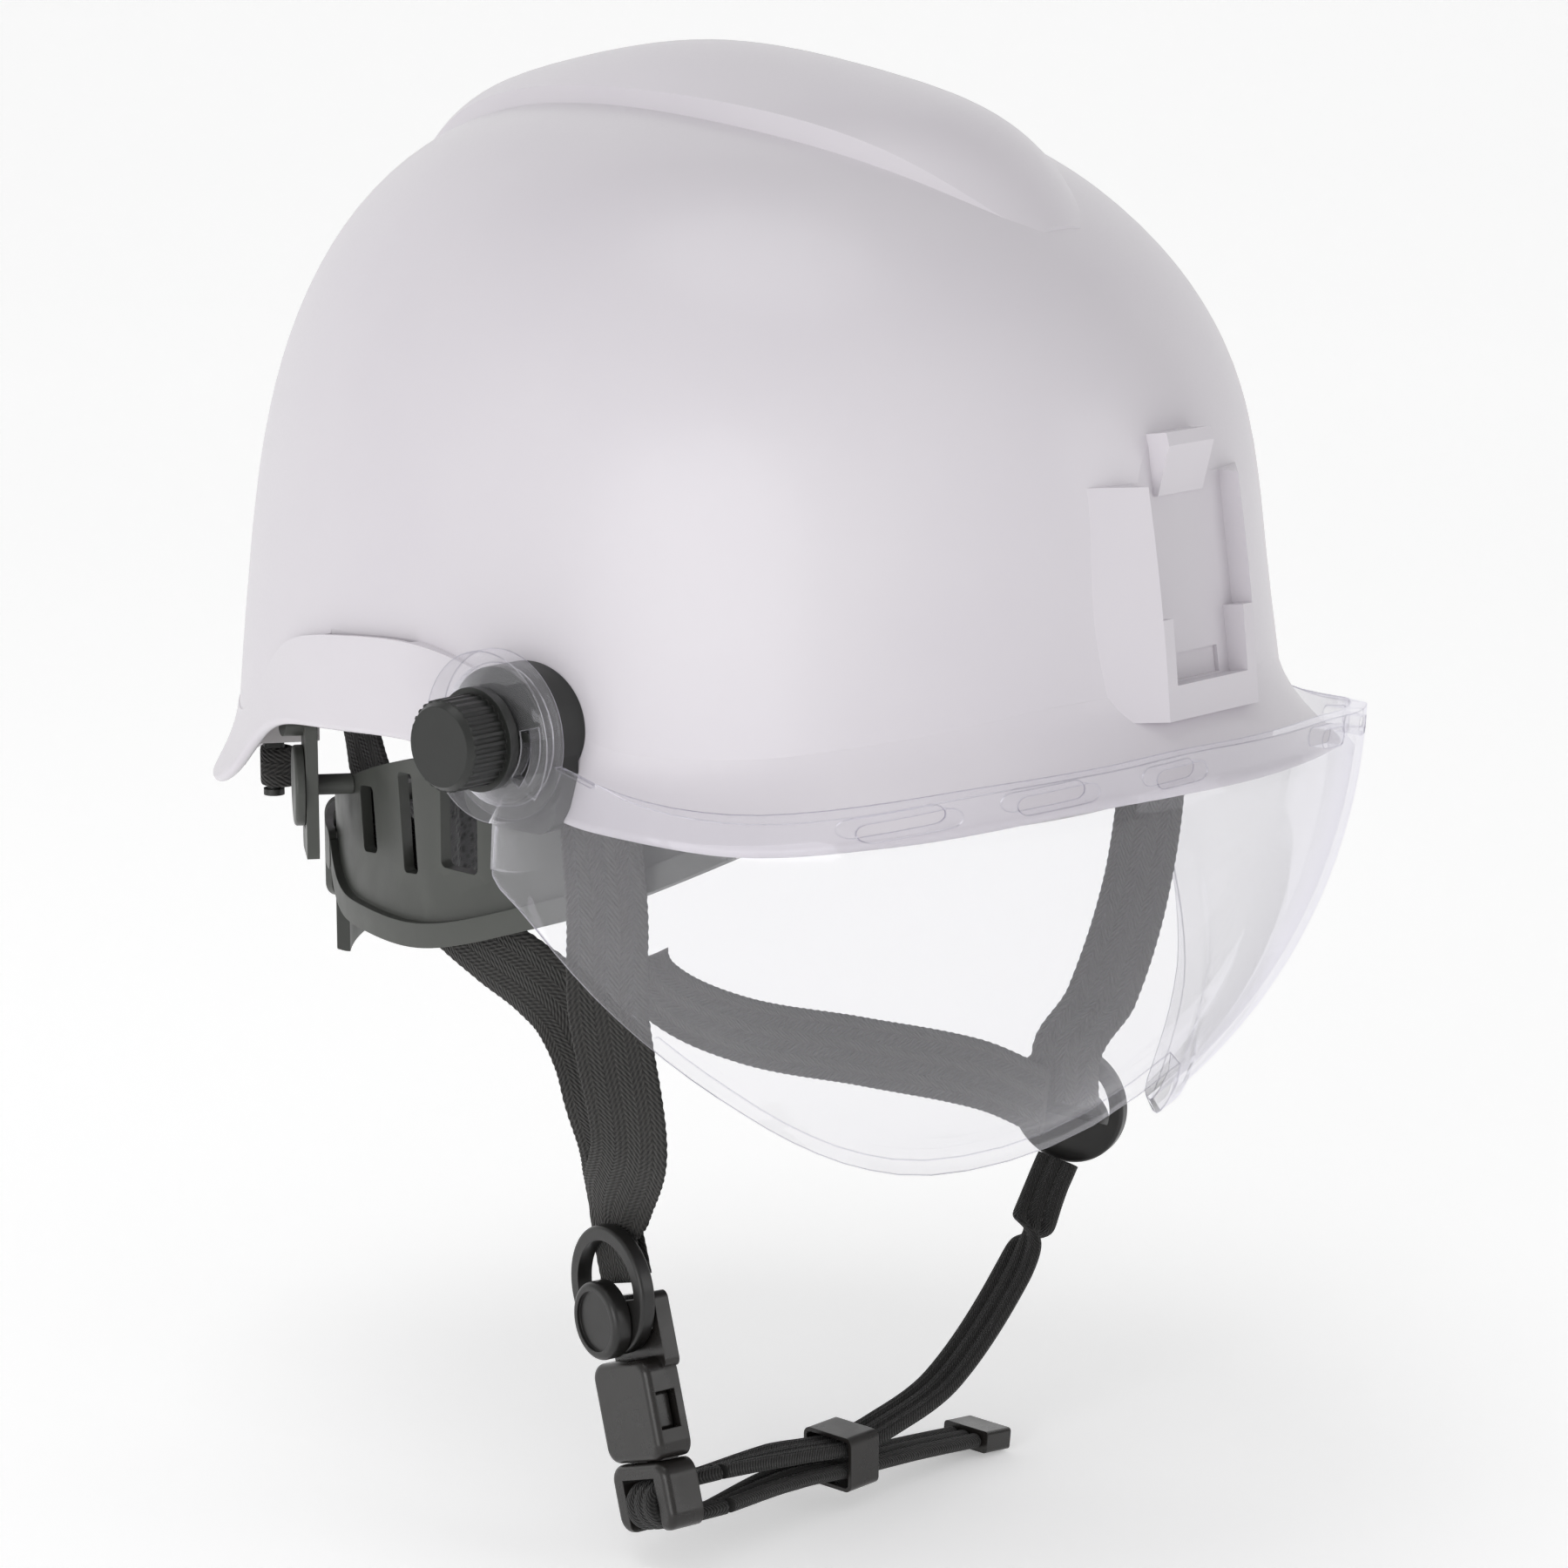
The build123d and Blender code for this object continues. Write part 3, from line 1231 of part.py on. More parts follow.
front_strap_left = tape(
    [
        ((91, -52, 8), (-0.2, 0.98, 0)),
        ((91.5, -54, -12), (-0.2, 0.98, 0)),
        ((89.5, -51, -48), (-0.2, 0.98, 0)),
        ((82, -46, -78), ALONG_LEFT),
        (tuple(slider_plane(-5.2, 1).from_local_coords((0, 16, 0))), ALONG_LEFT),
        (tuple(slider_plane(-5.2, 1).from_local_coords((0, 1, 0))), ALONG_LEFT),
    ]
)
finish(front_strap_left, "front_strap_left")

rear_strap_left = tape(
    [
        (tuple(slider_plane(-10.6, 1).from_local_coords((3, 2, 0))), UPRIGHT),
        ((65, -20, -100.5), UPRIGHT),
        ((65, 20, -102), UPRIGHT),
        ((62, 62, -103), UPRIGHT),
        ((59, 90, -96), (0, 0.3, 0.95)),
        ((57, 103, -78), (0, 0.9, 0.4)),
        ((56, 105, -54), REARWARDS),
    ]
)
finish(rear_strap_left, "rear_strap_left")
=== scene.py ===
"""Looks of a climbing-style safety helmet: materials, webbing, padding, stitching, light and camera."""

import math

import bmesh
import bpy
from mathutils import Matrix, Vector


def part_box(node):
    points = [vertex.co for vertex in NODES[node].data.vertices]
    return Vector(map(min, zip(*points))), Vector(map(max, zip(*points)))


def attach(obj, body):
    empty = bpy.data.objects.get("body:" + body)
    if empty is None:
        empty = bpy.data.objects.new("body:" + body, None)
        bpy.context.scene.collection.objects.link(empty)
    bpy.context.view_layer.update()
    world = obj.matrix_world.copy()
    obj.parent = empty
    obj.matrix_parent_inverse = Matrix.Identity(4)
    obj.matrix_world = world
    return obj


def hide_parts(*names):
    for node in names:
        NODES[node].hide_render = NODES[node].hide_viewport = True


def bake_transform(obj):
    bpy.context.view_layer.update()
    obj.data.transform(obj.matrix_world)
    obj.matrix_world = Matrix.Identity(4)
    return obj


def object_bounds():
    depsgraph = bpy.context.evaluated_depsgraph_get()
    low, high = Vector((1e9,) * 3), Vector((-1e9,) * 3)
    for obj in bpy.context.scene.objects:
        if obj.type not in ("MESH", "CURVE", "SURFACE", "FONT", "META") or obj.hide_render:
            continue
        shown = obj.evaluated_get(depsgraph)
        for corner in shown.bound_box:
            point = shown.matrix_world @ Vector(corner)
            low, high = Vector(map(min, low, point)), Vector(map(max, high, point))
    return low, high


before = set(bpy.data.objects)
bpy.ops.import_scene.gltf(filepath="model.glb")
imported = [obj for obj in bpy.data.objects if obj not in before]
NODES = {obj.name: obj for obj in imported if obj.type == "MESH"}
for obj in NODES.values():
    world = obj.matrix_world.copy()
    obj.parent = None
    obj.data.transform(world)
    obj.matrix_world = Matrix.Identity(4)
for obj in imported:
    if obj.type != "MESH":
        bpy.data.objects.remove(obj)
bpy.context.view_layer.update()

# ---------------------------------------------------------------- driving sizes, in metres
MM = 0.001
WEB_WIDTH = 19 * MM
WEB_THICKNESS = 1.5 * MM
CHIN_WIDTH = 11.5 * MM
CHIN_THICKNESS = 3.6 * MM
BAND_HALF_WIDTH = 92 * MM       # outside of the headband, seen from above
BAND_HALF_LENGTH = 112 * MM
BAND_WALL = 3.2 * MM
ROW_SPACING = 0.6 * MM          # along a strap, between two rows of its mesh
PICOT_PITCH = 2.4 * MM          # of the small loops along a strap's selvedge
PICOT_DEPTH = 0.22 * MM
STITCH_PITCH = 2.6 * MM
STITCH_LENGTH = 1.7 * MM
STITCH_RADIUS = 0.32 * MM


# ---------------------------------------------------------------- node helpers
class Material:
    """A node material, with short calls for adding and joining its nodes."""

    def __init__(self, name):
        self.material = bpy.data.materials.new(name)
        self.material.use_nodes = True
        self.tree = self.material.node_tree
        self.shader = self.tree.nodes["Principled BSDF"]
        self.output = self.tree.nodes["Material Output"]

    def add(self, kind, inputs=None, **settings):
        node = self.tree.nodes.new(kind)
        for name, value in settings.items():
            setattr(node, name, value)
        for name, value in (inputs or {}).items():
            if isinstance(value, bpy.types.NodeSocket):
                self.tree.links.new(value, node.inputs[name])
            else:
                node.inputs[name].default_value = value
        return node

    def join(self, socket, name):
        self.tree.links.new(socket, self.shader.inputs[name])

    def place(self):
        """Coordinates in metres in the row frame."""
        return self.add("ShaderNodeTexCoord").outputs["Object"]

    def noise(self, size, detail=3.0, vector=None):
        """Noise whose patches are about the given size in metres."""
        inputs = {"Vector": vector or self.place(), "Scale": 1 / size, "Detail": detail}
        return self.add("ShaderNodeTexNoise", inputs).outputs["Fac"]

    def ramp(self, value, low, high, to_low, to_high):
        inputs = {
            "Value": value, "From Min": low, "From Max": high, "To Min": to_low, "To Max": to_high,
        }
        return self.add("ShaderNodeMapRange", inputs).outputs["Result"]

    def maths(self, operation, first, second=0.0):
        return self.add("ShaderNodeMath", {0: first, 1: second}, operation=operation).outputs[0]

    def mix(self, share, first, second):
        node = self.add("ShaderNodeMix", data_type="RGBA")
        for index, value in ((0, share), (6, first), (7, second)):
            if isinstance(value, bpy.types.NodeSocket):
                self.tree.links.new(value, node.inputs[index])
            else:
                node.inputs[index].default_value = value
        return node.outputs[2]

    def bump(self, height, distance, strength=1.0, normal=None):
        inputs = {"Height": height, "Distance": distance, "Strength": strength}
        if normal is not None:
            inputs["Normal"] = normal
        return self.add("ShaderNodeBump", inputs).outputs["Normal"]

    def rounded(self, radius):
        """A normal that rounds sharp edges off."""
        return self.add("ShaderNodeBevel", {"Radius": radius}, samples=4).outputs["Normal"]


def rgba(colour, factor=1.0):
    return tuple(channel * factor for channel in colour) + (1.0,)


# ---------------------------------------------------------------- materials
def moulded(name, colour, roughness, grain=0.45 * MM, depth=0.03 * MM, edge=0.35 * MM, wear=1.5):
    """Moulded plastic: spark-eroded grain, mottled sheen, rounded and slightly rubbed edges."""
    made = Material(name)
    mottle = made.noise(9 * MM, 4.0)
    grain_noise = made.noise(grain, 2.0)
    edges = made.add("ShaderNodeNewGeometry").outputs["Pointiness"]
    rubbed = made.ramp(edges, 0.52, 0.60, 0.0, 0.35)
    base = made.mix(made.ramp(mottle, 0.3, 0.7, 0, 1), rgba(colour, 0.92), rgba(colour, 1.08))
    made.join(made.mix(rubbed, base, rgba(colour, wear)), "Base Color")
    made.join(made.ramp(mottle, 0.3, 0.7, roughness - 0.06, roughness + 0.08), "Roughness")
    made.join(made.bump(grain_noise, depth, 0.6, made.rounded(edge)), "Normal")
    return made.material


def shell_lacquer():
    """Satin white shell: slight lilac cast, faint ripple, fine dust in the sheen."""
    made = Material("shell_gloss")
    tint = made.noise(60 * MM, 2.0)
    dust = made.noise(0.7 * MM, 3.0)
    ripple = made.noise(14 * MM, 1.0)
    white = made.mix(tint, rgba((0.64, 0.608, 0.655)), rgba((0.7, 0.672, 0.705)))
    made.join(white, "Base Color")
    made.join(made.ramp(dust, 0.35, 0.75, 0.36, 0.46), "Roughness")
    made.shader.inputs["Coat Weight"].default_value = 0.25
    made.shader.inputs["Coat Roughness"].default_value = 0.22
    made.join(made.bump(ripple, 0.03 * MM, 0.3), "Normal")
    return made.material


def visor_polycarbonate():
    """Clear sheet: mirror-like at grazing angles, a pale diffuse layer as painted reflection of the
    white surroundings, rounded edges darkened lilac as painted shade, hairline scuffs.
    """
    made = Material("visor_polycarbonate")
    scuffs = made.noise(1.2 * MM, 6.0)
    facing = made.add("ShaderNodeLayerWeight", {"Blend": 0.5}).outputs["Facing"]
    flat = made.add("ShaderNodeNewGeometry").outputs["Normal"]
    rolled = made.rounded(0.7 * MM)
    bend = made.add("ShaderNodeVectorMath", {0: flat, 1: rolled}, operation="DOT_PRODUCT")
    edge = made.ramp(bend.outputs["Value"], 0.99, 0.82, 0.0, 1.0)
    grazing = made.maths("MULTIPLY", made.maths("POWER", facing, 5.0), 0.9)
    mirror = made.maths("ADD", grazing, 0.04)
    mirror = made.maths("MAXIMUM", mirror, made.maths("MULTIPLY", edge, 0.4))
    # Painted shade: at rounded edges the see-through colour turns dark lilac, standing in for the
    # refraction lines along them.
    tint = made.mix(edge, rgba((0.97, 0.968, 0.975)), rgba((0.3, 0.27, 0.38)))
    clear = made.add("ShaderNodeBsdfTransparent", {"Color": tint})
    gloss = made.add("ShaderNodeBsdfGlossy", {
        "Color": rgba((0.96, 0.95, 1.0)),
        "Roughness": made.ramp(scuffs, 0.4, 0.8, 0.02, 0.07),
        "Normal": rolled,
    })
    # Painted reflection: a pale diffuse layer stands in for the white surroundings mirrored in the
    # sheet, stronger towards grazing angles.
    painted_reflection = made.add("ShaderNodeBsdfDiffuse", {"Color": rgba((0.86, 0.86, 0.88))})
    sheet = made.add("ShaderNodeMixShader", {0: mirror})
    with_painted_reflection = made.add("ShaderNodeMixShader", {0: made.ramp(facing, 0.0, 1.0, 0.03, 0.1)})
    link = made.tree.links.new
    link(clear.outputs[0], sheet.inputs[1])
    link(gloss.outputs[0], sheet.inputs[2])
    link(sheet.outputs[0], with_painted_reflection.inputs[1])
    link(painted_reflection.outputs[0], with_painted_reflection.inputs[2])
    link(with_painted_reflection.outputs[0], made.output.inputs["Surface"])
    return made.material


def woven(name, colour, weave=1.5 * MM, width=WEB_WIDTH):
    """Webbing: chevron weave that runs along the strap, fuzz, painted shade in the gaps between the
    yarns and painted light on their tops.

    The first UV axis is the length along the strap and the second the place across it, in metres.
    """
    made = Material(name)
    parts = made.add("ShaderNodeSeparateXYZ", {"Vector": made.add("ShaderNodeUVMap").outputs[0]})
    along = parts.outputs["X"]
    across = parts.outputs["Y"]
    chevron = made.maths("PINGPONG", across, width / 6)
    slanted = made.maths("ADD", along, made.maths("MULTIPLY", chevron, 1.4))
    yarns = made.maths("SINE", made.maths("MULTIPLY", slanted, 2 * math.pi / weave))
    ribs = made.maths("SINE", made.maths("MULTIPLY", across, 2 * math.pi / (width / 14)))
    fuzz = made.noise(0.35 * MM, 4.0)
    wear = made.noise(18 * MM, 3.0)
    height = made.maths("ADD", yarns, made.maths("MULTIPLY", ribs, 0.7))
    rough = made.maths("ADD", height, fuzz)
    # Painted light and shade: the colour follows the yarn height, light on raised yarns and dark in the
    # gaps between them.
    lit = made.mix(made.ramp(height, -1.5, 1.5, 0, 1), rgba(colour, 0.3), rgba(colour, 2.2))
    made.join(made.mix(made.ramp(wear, 0.35, 0.7, 0, 0.25), lit, rgba(colour, 1.9)), "Base Color")
    made.join(made.ramp(fuzz, 0.3, 0.7, 0.72, 0.92), "Roughness")
    made.shader.inputs["Sheen Weight"].default_value = 0.08
    made.shader.inputs["Sheen Roughness"].default_value = 0.5
    made.join(made.bump(rough, 0.2 * MM, 0.9), "Normal")
    return made.material


def knitted(name, colour):
    """Knitted cover of a foam pad: small cells with holes, painted shade in the holes and painted light
    on the cell rims, soft sheen.
    """
    made = Material(name)
    cells = made.add("ShaderNodeTexVoronoi", {"Vector": made.place(), "Scale": 1 / (1.6 * MM)})
    fuzz = made.noise(0.4 * MM, 4.0)
    # Painted shade: darker towards the middle of each cell, where the holes sink in, and lighter on the
    # raised rims.
    shade = made.ramp(cells.outputs["Distance"], 0.1, 0.6, 0, 1)
    made.join(made.mix(shade, rgba(colour, 0.45), rgba(colour, 1.35)), "Base Color")
    made.join(made.ramp(fuzz, 0.3, 0.7, 0.8, 0.95), "Roughness")
    made.shader.inputs["Sheen Weight"].default_value = 0.4
    made.join(made.bump(made.maths("ADD", shade, fuzz), 0.3 * MM, 0.7), "Normal")
    return made.material


def turned_steel():
    """Brushed steel of screws, studs and the spring."""
    made = Material("turned_steel")
    stretched = made.add("ShaderNodeVectorMath", {0: made.place(), 1: (1, 12, 1)}, operation="MULTIPLY")
    brush = made.noise(0.9 * MM, 3.0, stretched.outputs[0])
    made.join(made.mix(brush, rgba((0.5, 0.5, 0.5)), rgba((0.68, 0.68, 0.67))), "Base Color")
    made.shader.inputs["Metallic"].default_value = 1.0
    made.join(made.ramp(brush, 0.3, 0.7, 0.22, 0.42), "Roughness")
    made.join(made.bump(brush, 0.02 * MM, 0.5, made.rounded(0.2 * MM)), "Normal")
    return made.material


def thread(name, colour):
    """Twisted sewing thread, with painted light on the raised plies and painted shade in the grooves
    between them.
    """
    made = Material(name)
    twist = made.add("ShaderNodeTexWave", {"Vector": made.place(), "Scale": 1 / (2 * MM)})
    # Painted light and shade: the colour follows the twist's bump, lighter on the plies and darker in
    # the grooves.
    made.join(made.mix(twist.outputs["Fac"], rgba(colour, 0.7), rgba(colour, 1.3)), "Base Color")
    made.shader.inputs["Roughness"].default_value = 0.6
    made.join(made.bump(twist.outputs["Fac"], 0.05 * MM), "Normal")
    return made.material


def shade(mesh, sharp_from):
    """Smooth shading between edges that are sharper than an angle in degrees."""
    mesh.shade_smooth()
    mesh.set_sharp_from_angle(angle=math.radians(sharp_from))


def paint(material, *names):
    """Gives CAD nodes a material and smooth shading between their sharp edges."""
    for name in names:
        mesh = NODES[name].data
        mesh.materials.clear()
        mesh.materials.append(material)
        shade(mesh, 28)


paint(shell_lacquer(), "shell")
paint(
    moulded("knob_plastic", (0.014, 0.015, 0.0135), 0.38),
    "visor_knob_right", "visor_knob_left", "visor_adapter_right", "visor_adapter_left",
    "ratchet_dial", "rear_hook_bars",
)
paint(
    moulded("slider_plastic", (0.012, 0.0115, 0.011), 0.34),
    "strap_slider_right", "strap_slider_left", "slider_button_right", "slider_button_left",
)
paint(
    moulded("buckle_plastic", (0.014, 0.0125, 0.0115), 0.27),
    "buckle_socket", "buckle_plug", "buckle_prong_front", "buckle_prong_back",
    "strap_end_clip", "strap_keeper",
)
paint(
    moulded("band_plastic", (0.055, 0.058, 0.052), 0.42),
    "headband_side_right", "headband_side_left", "hanger_plate_right", "hanger_plate_left",
    "hanger_buttons", "nape_cradle", "nape_cover", "band_tail_right", "band_tail_left",
    "rack_right", "rack_left", "ratchet_pinion",
)
paint(
    moulded("pale_plastic", (0.62, 0.6, 0.6), 0.45, wear=1.1),
    "brow_band", "rear_brackets", "strap_anchors",
)
paint(moulded("washer_rubber", (0.03, 0.03, 0.03), 0.7), "visor_washers")
paint(turned_steel(), "cover_screws", "pivot_studs", "detent_spring")

WEBBING = woven("webbing", (0.022, 0.021, 0.0195))
CHIN_WEBBING = woven("chin_webbing", (0.011, 0.0105, 0.01), 0.9 * MM, CHIN_WIDTH)
THREAD = thread("black_thread", (0.02, 0.019, 0.018))
GREY_THREAD = thread("grey_thread", (0.045, 0.043, 0.041))
KNIT = knitted("pad_knit", (0.045, 0.045, 0.047))


# ---------------------------------------------------------------- geometry helpers
def new_object(name, mesh, material):
    mesh.materials.append(material)
    made = bpy.data.objects.new(name, mesh)
    bpy.context.scene.collection.objects.link(made)
    return made


def clear_visor():
    """The visor with one joined skin, so that it shades evenly."""
    mesh = bpy.data.meshes.new("visor_glazing")
    build = bmesh.new()
    build.from_mesh(NODES["visor_lens"].data)
    bmesh.ops.remove_doubles(build, verts=build.verts, dist=0.02 * MM)
    bmesh.ops.recalc_face_normals(build, faces=build.faces)
    build.to_mesh(mesh)
    build.free()
    made = new_object("visor_glazing", mesh, visor_polycarbonate())
    shade(mesh, 24)
    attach(made, "visor")
    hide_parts("visor_lens")


clear_visor()


def smooth_rows(stations, spacing=ROW_SPACING):
    """Rows of (point, direction across, length so far) on a smooth curve through the stations."""
    points = [Vector(point) for point, _ in stations]
    sides = [Vector(side).normalized() for _, side in stations]
    lengths = [0.0]
    for start, end in zip(points, points[1:]):
        lengths.append(lengths[-1] + (end - start).length)

    def slope(index):
        before = max(index - 1, 0)
        after = min(index + 1, len(points) - 1)
        return (points[after] - points[before]) / (lengths[after] - lengths[before])

    rows = []
    for index in range(len(points) - 1):
        span = lengths[index + 1] - lengths[index]
        steps = max(2, round(span / spacing))
        for step in range(steps):
            share = step / steps
            rise = share * share * (3 - 2 * share)
            point = points[index].lerp(points[index + 1], rise)
            point += slope(index) * span * share * (1 - share) ** 2
            point -= slope(index + 1) * span * share ** 2 * (1 - share)
            rows.append((point, sides[index].lerp(sides[index + 1], share)))
    rows.append((points[-1], sides[-1]))

    framed = []
    length = 0.0
    for index, (point, side) in enumerate(rows):
        along = (rows[min(index + 1, len(rows) - 1)][0] - rows[max(index - 1, 0)][0]).normalized()
        side = (side - along * side.dot(along)).normalized()
        if index:
            length += (point - rows[index - 1][0]).length
        framed.append((point, side, along.cross(side), length))
    return framed


def flat_profile(place):
    """Share of the half thickness at a place from -1 to 1 across flat webbing."""
    return (1 - abs(place) ** 10) ** 0.5


def channel_profile(place):
    """Three padded channels side by side, pinched at their stitch lines."""
    crown = abs(math.cos(1.5 * math.pi * place)) ** 0.45
    return (0.42 + 0.58 * crown) * (1 - abs(place) ** 12) ** 0.5


def ribbon(name, rows, width, thickness, profile, material, columns=22, closed=False, picot=0.0):
    """Strap mesh along framed rows, with UVs in metres and edges that wave by the picot's depth."""
    mesh = bpy.data.meshes.new(name)
    build = bmesh.new()
    layer = build.loops.layers.uv.new("UVMap")
    places = [-math.cos(math.pi * step / columns) for step in range(columns + 1)]
    ring = [(place, 1) for place in places] + [(place, -1) for place in reversed(places[1:-1])]
    loops = []
    for point, side, normal, length in rows:
        reach = width / 2 - picot * math.cos(math.pi * length / PICOT_PITCH) ** 2
        loops.append([
            build.verts.new(
                point + side * (place * reach) + normal * (face * profile(place) * thickness / 2)
            )
            for place, face in ring
        ])
    count = len(ring)
    pairs = list(zip(range(len(rows) - 1), range(1, len(rows))))
    if closed:
        pairs.append((len(rows) - 1, 0))
    for near, far in pairs:
        start = rows[near][3]
        end = rows[far][3] if far else start + ROW_SPACING
        for step in range(count):
            after = (step + 1) % count
            face = build.faces.new(
                (loops[near][step], loops[near][after], loops[far][after], loops[far][step])
            )
            face.smooth = True
            places_here = (ring[step][0], ring[after][0], ring[after][0], ring[step][0])
            for corner, place, length in zip(face.loops, places_here, (start, start, end, end)):
                corner[layer].uv = (length, (place + 1) * width / 2)
    if not closed:
        build.faces.new(reversed(loops[0]))
        build.faces.new(loops[-1])
    bmesh.ops.recalc_face_normals(build, faces=build.faces)
    build.to_mesh(mesh)
    build.free()
    return new_object(name, mesh, material)


def stitch_line(build, rows, place, face, lift, width, pitch=STITCH_PITCH):
    """Adds a run of stitches to a mesh, at a place across a strap's rows."""
    due = pitch
    for point, side, normal, length in rows:
        if length < due:
            continue
        due += pitch
        along = side.cross(normal)
        centre = point + side * (place * width / 2) + normal * face * lift
        add_stitch(build, centre, along, side, normal)


def add_stitch(build, centre, along, side, normal, length=STITCH_LENGTH):
    """One stitch: a short thread that dives into the cloth at both ends."""
    rings = []
    segments = 6
    for share in (-1, -0.6, 0, 0.6, 1):
        radius = STITCH_RADIUS * (0.35 + 0.65 * (1 - share * share))
        dip = -share * share * STITCH_RADIUS
        ring = []
        for step in range(segments):
            turn = 2 * math.pi * step / segments
            ring.append(build.verts.new(
                centre + along * (share * length / 2) + side * (math.cos(turn) * radius)
                + normal * (math.sin(turn) * radius + dip)
            ))
        rings.append(ring)
    for near, far in zip(rings, rings[1:]):
        for step in range(segments):
            after = (step + 1) % segments
            build.faces.new((near[step], near[after], far[after], far[step])).smooth = True
    build.faces.new(reversed(rings[0]))
    build.faces.new(rings[-1])


def stitched(name, fill, material, body):
    """Object made of stitches that fill(build) adds."""
    mesh = bpy.data.meshes.new(name)
    build = bmesh.new()
    fill(build)
    bmesh.ops.recalc_face_normals(build, faces=build.faces)
    build.to_mesh(mesh)
    build.free()
    made = new_object(name, mesh, material)
    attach(made, body)
    return made


def bartack(build, rows, start, end, width, thickness, places=(-0.8, -0.4, 0, 0.4, 0.8)):
    """Adds a box of close stitches between two lengths along a strap, on both faces."""
    chosen = [row for row in rows if start <= row[3] <= end]
    for face in (-1, 1):
        for place in places:
            stitch_line(build, [
                (point, side, normal, length - start) for point, side, normal, length in chosen
            ], place, face, thickness / 2, width, 1.9 * MM)


# ---------------------------------------------------------------- sliders' frames, as in the CAD
def slider_frame(side):
    """Centre and axes of a slider ring: along the ring, up the strap, outwards."""
    if side < 0:
        outwards = Vector((-0.98, 0.2, 0)).normalized()
        up = Vector((0, 0.33, 0.94))
        centre = Vector((-76, -25.4, -123.3)) * MM
    else:
        outwards = Vector((0.96, 0.28, 0.05)).normalized()
        up = Vector((0.22, -0.02, 0.97))
        centre = Vector((75, -42.4, -105)) * MM
    up = (up - outwards * up.dot(outwards)).normalized()
    return centre, up.cross(outwards), up, outwards


RIGHT_CENTRE, RIGHT_ALONG, RIGHT_UP, RIGHT_OUT = slider_frame(-1)
LEFT_CENTRE, LEFT_ALONG, LEFT_UP, LEFT_OUT = slider_frame(1)


def at(x, y, outwards, side=-1):
    """Point near a slider, given along, up and outwards in millimetres."""
    if side < 0:
        return RIGHT_CENTRE + (RIGHT_ALONG * x + RIGHT_UP * y + RIGHT_OUT * outwards) * MM
    return LEFT_CENTRE + (LEFT_ALONG * x + LEFT_UP * y + LEFT_OUT * outwards) * MM


def mm(x, y, z):
    return Vector((x, y, z)) * MM


UPRIGHT = Vector((0, 0, 1))
REARWARDS = Vector((0, 1, 0))
ACROSS_CHIN = Vector((0, -1, 0))


# ---------------------------------------------------------------- straps
def strap(name, stations, body="helmet", tacks=((3, 13),)):
    """Flat webbing in place of the CAD strap of the same name, with bartacks at distances in mm."""
    rows = smooth_rows(stations)
    made = ribbon(
        f"{name}_webbing", rows, WEB_WIDTH, WEB_THICKNESS, flat_profile, WEBBING, picot=PICOT_DEPTH,
    )
    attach(made, body)
    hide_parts(name)
    total = rows[-1][3]

    def fill(build):
        for start, end in tacks:
            first = start * MM if start >= 0 else total + start * MM
            last = end * MM if end >= 0 else total + end * MM
            bartack(build, rows, first, last, WEB_WIDTH, WEB_THICKNESS)

    stitched(f"{name}_bartack", fill, THREAD, body)
    return rows


strap("front_strap_right", [
    (mm(-96, -44, 8), (0.35, -0.94, 0)),
    (mm(-95, -44, -6), (0.5, -0.87, 0)),
    (mm(-92, -43, -26), (0.6, -0.8, 0)),
    (mm(-88, -39, -50), (0.6, -0.8, 0)),
    (mm(-80, -37.5, -84), (0.4, -0.92, 0)),
    (at(1, 16, -5.2), RIGHT_ALONG),
    (at(0, 1, -5.2), RIGHT_ALONG),
], tacks=((12, 24),))

strap("rear_strap_right", [
    (mm(-56, 90, 8), UPRIGHT),
    (mm(-58.5, 81, 3), UPRIGHT),
    (mm(-65.5, 68, -6), (0, -0.45, 0.9)),
    (mm(-73.5, 54, -16), (0, -0.45, 0.9)),
    (mm(-80, 39, -26), (0, -0.5, 0.87)),
    (mm(-84.3, 22, -35), (0, -0.45, 0.9)),
    (mm(-86.2, 4, -42), (0, -0.4, 0.92)),
    (mm(-86.3, -11, -47), (0.1, -0.5, 0.86)),
    (mm(-85.5, -22, -53), (0.3, -0.7, 0.65)),
    (mm(-83, -28, -64), (0.45, -0.85, 0.3)),
    (mm(-80.5, -29.5, -77), (0.4, -0.92, 0.05)),
    (mm(-74.3, -28, -91), (0.4, -0.92, 0)),
    (at(-1.5, 16, -8.4), RIGHT_ALONG),
    (at(-1.5, 2, -8.4), RIGHT_ALONG),
])

strap("front_strap_left", [
    (mm(91, -52, 8), (-0.2, 0.98, 0)),
    (mm(91.5, -54, -12), (-0.2, 0.98, 0)),
    (mm(89.5, -51, -48), (-0.2, 0.98, 0)),
    (mm(82, -46, -78), LEFT_ALONG),
    (at(0, 16, -5.2, 1), LEFT_ALONG),
    (at(0, 1, -5.2, 1), LEFT_ALONG),
], tacks=((12, 24),))

strap("rear_strap_left", [
    (at(3, 2, -10.6, 1), UPRIGHT),
    (mm(65, -20, -100.5), UPRIGHT),
    (mm(65, 20, -102), UPRIGHT),
    (mm(62, 62, -103), UPRIGHT),
    (mm(59, 90, -96), (0, 0.3, 0.95)),
    (mm(57, 103, -78), (0, 0.9, 0.4)),
    (mm(56, 105, -54), REARWARDS),
], tacks=((-14, -4),))


# ---------------------------------------------------------------- chin strap
BAR_HEIGHT = -51.5
BAR_DEPTH = -3.0
LAYER = 4.1                     # from the bar's axis to the strap's middle
LOOP_LEG = 16.0


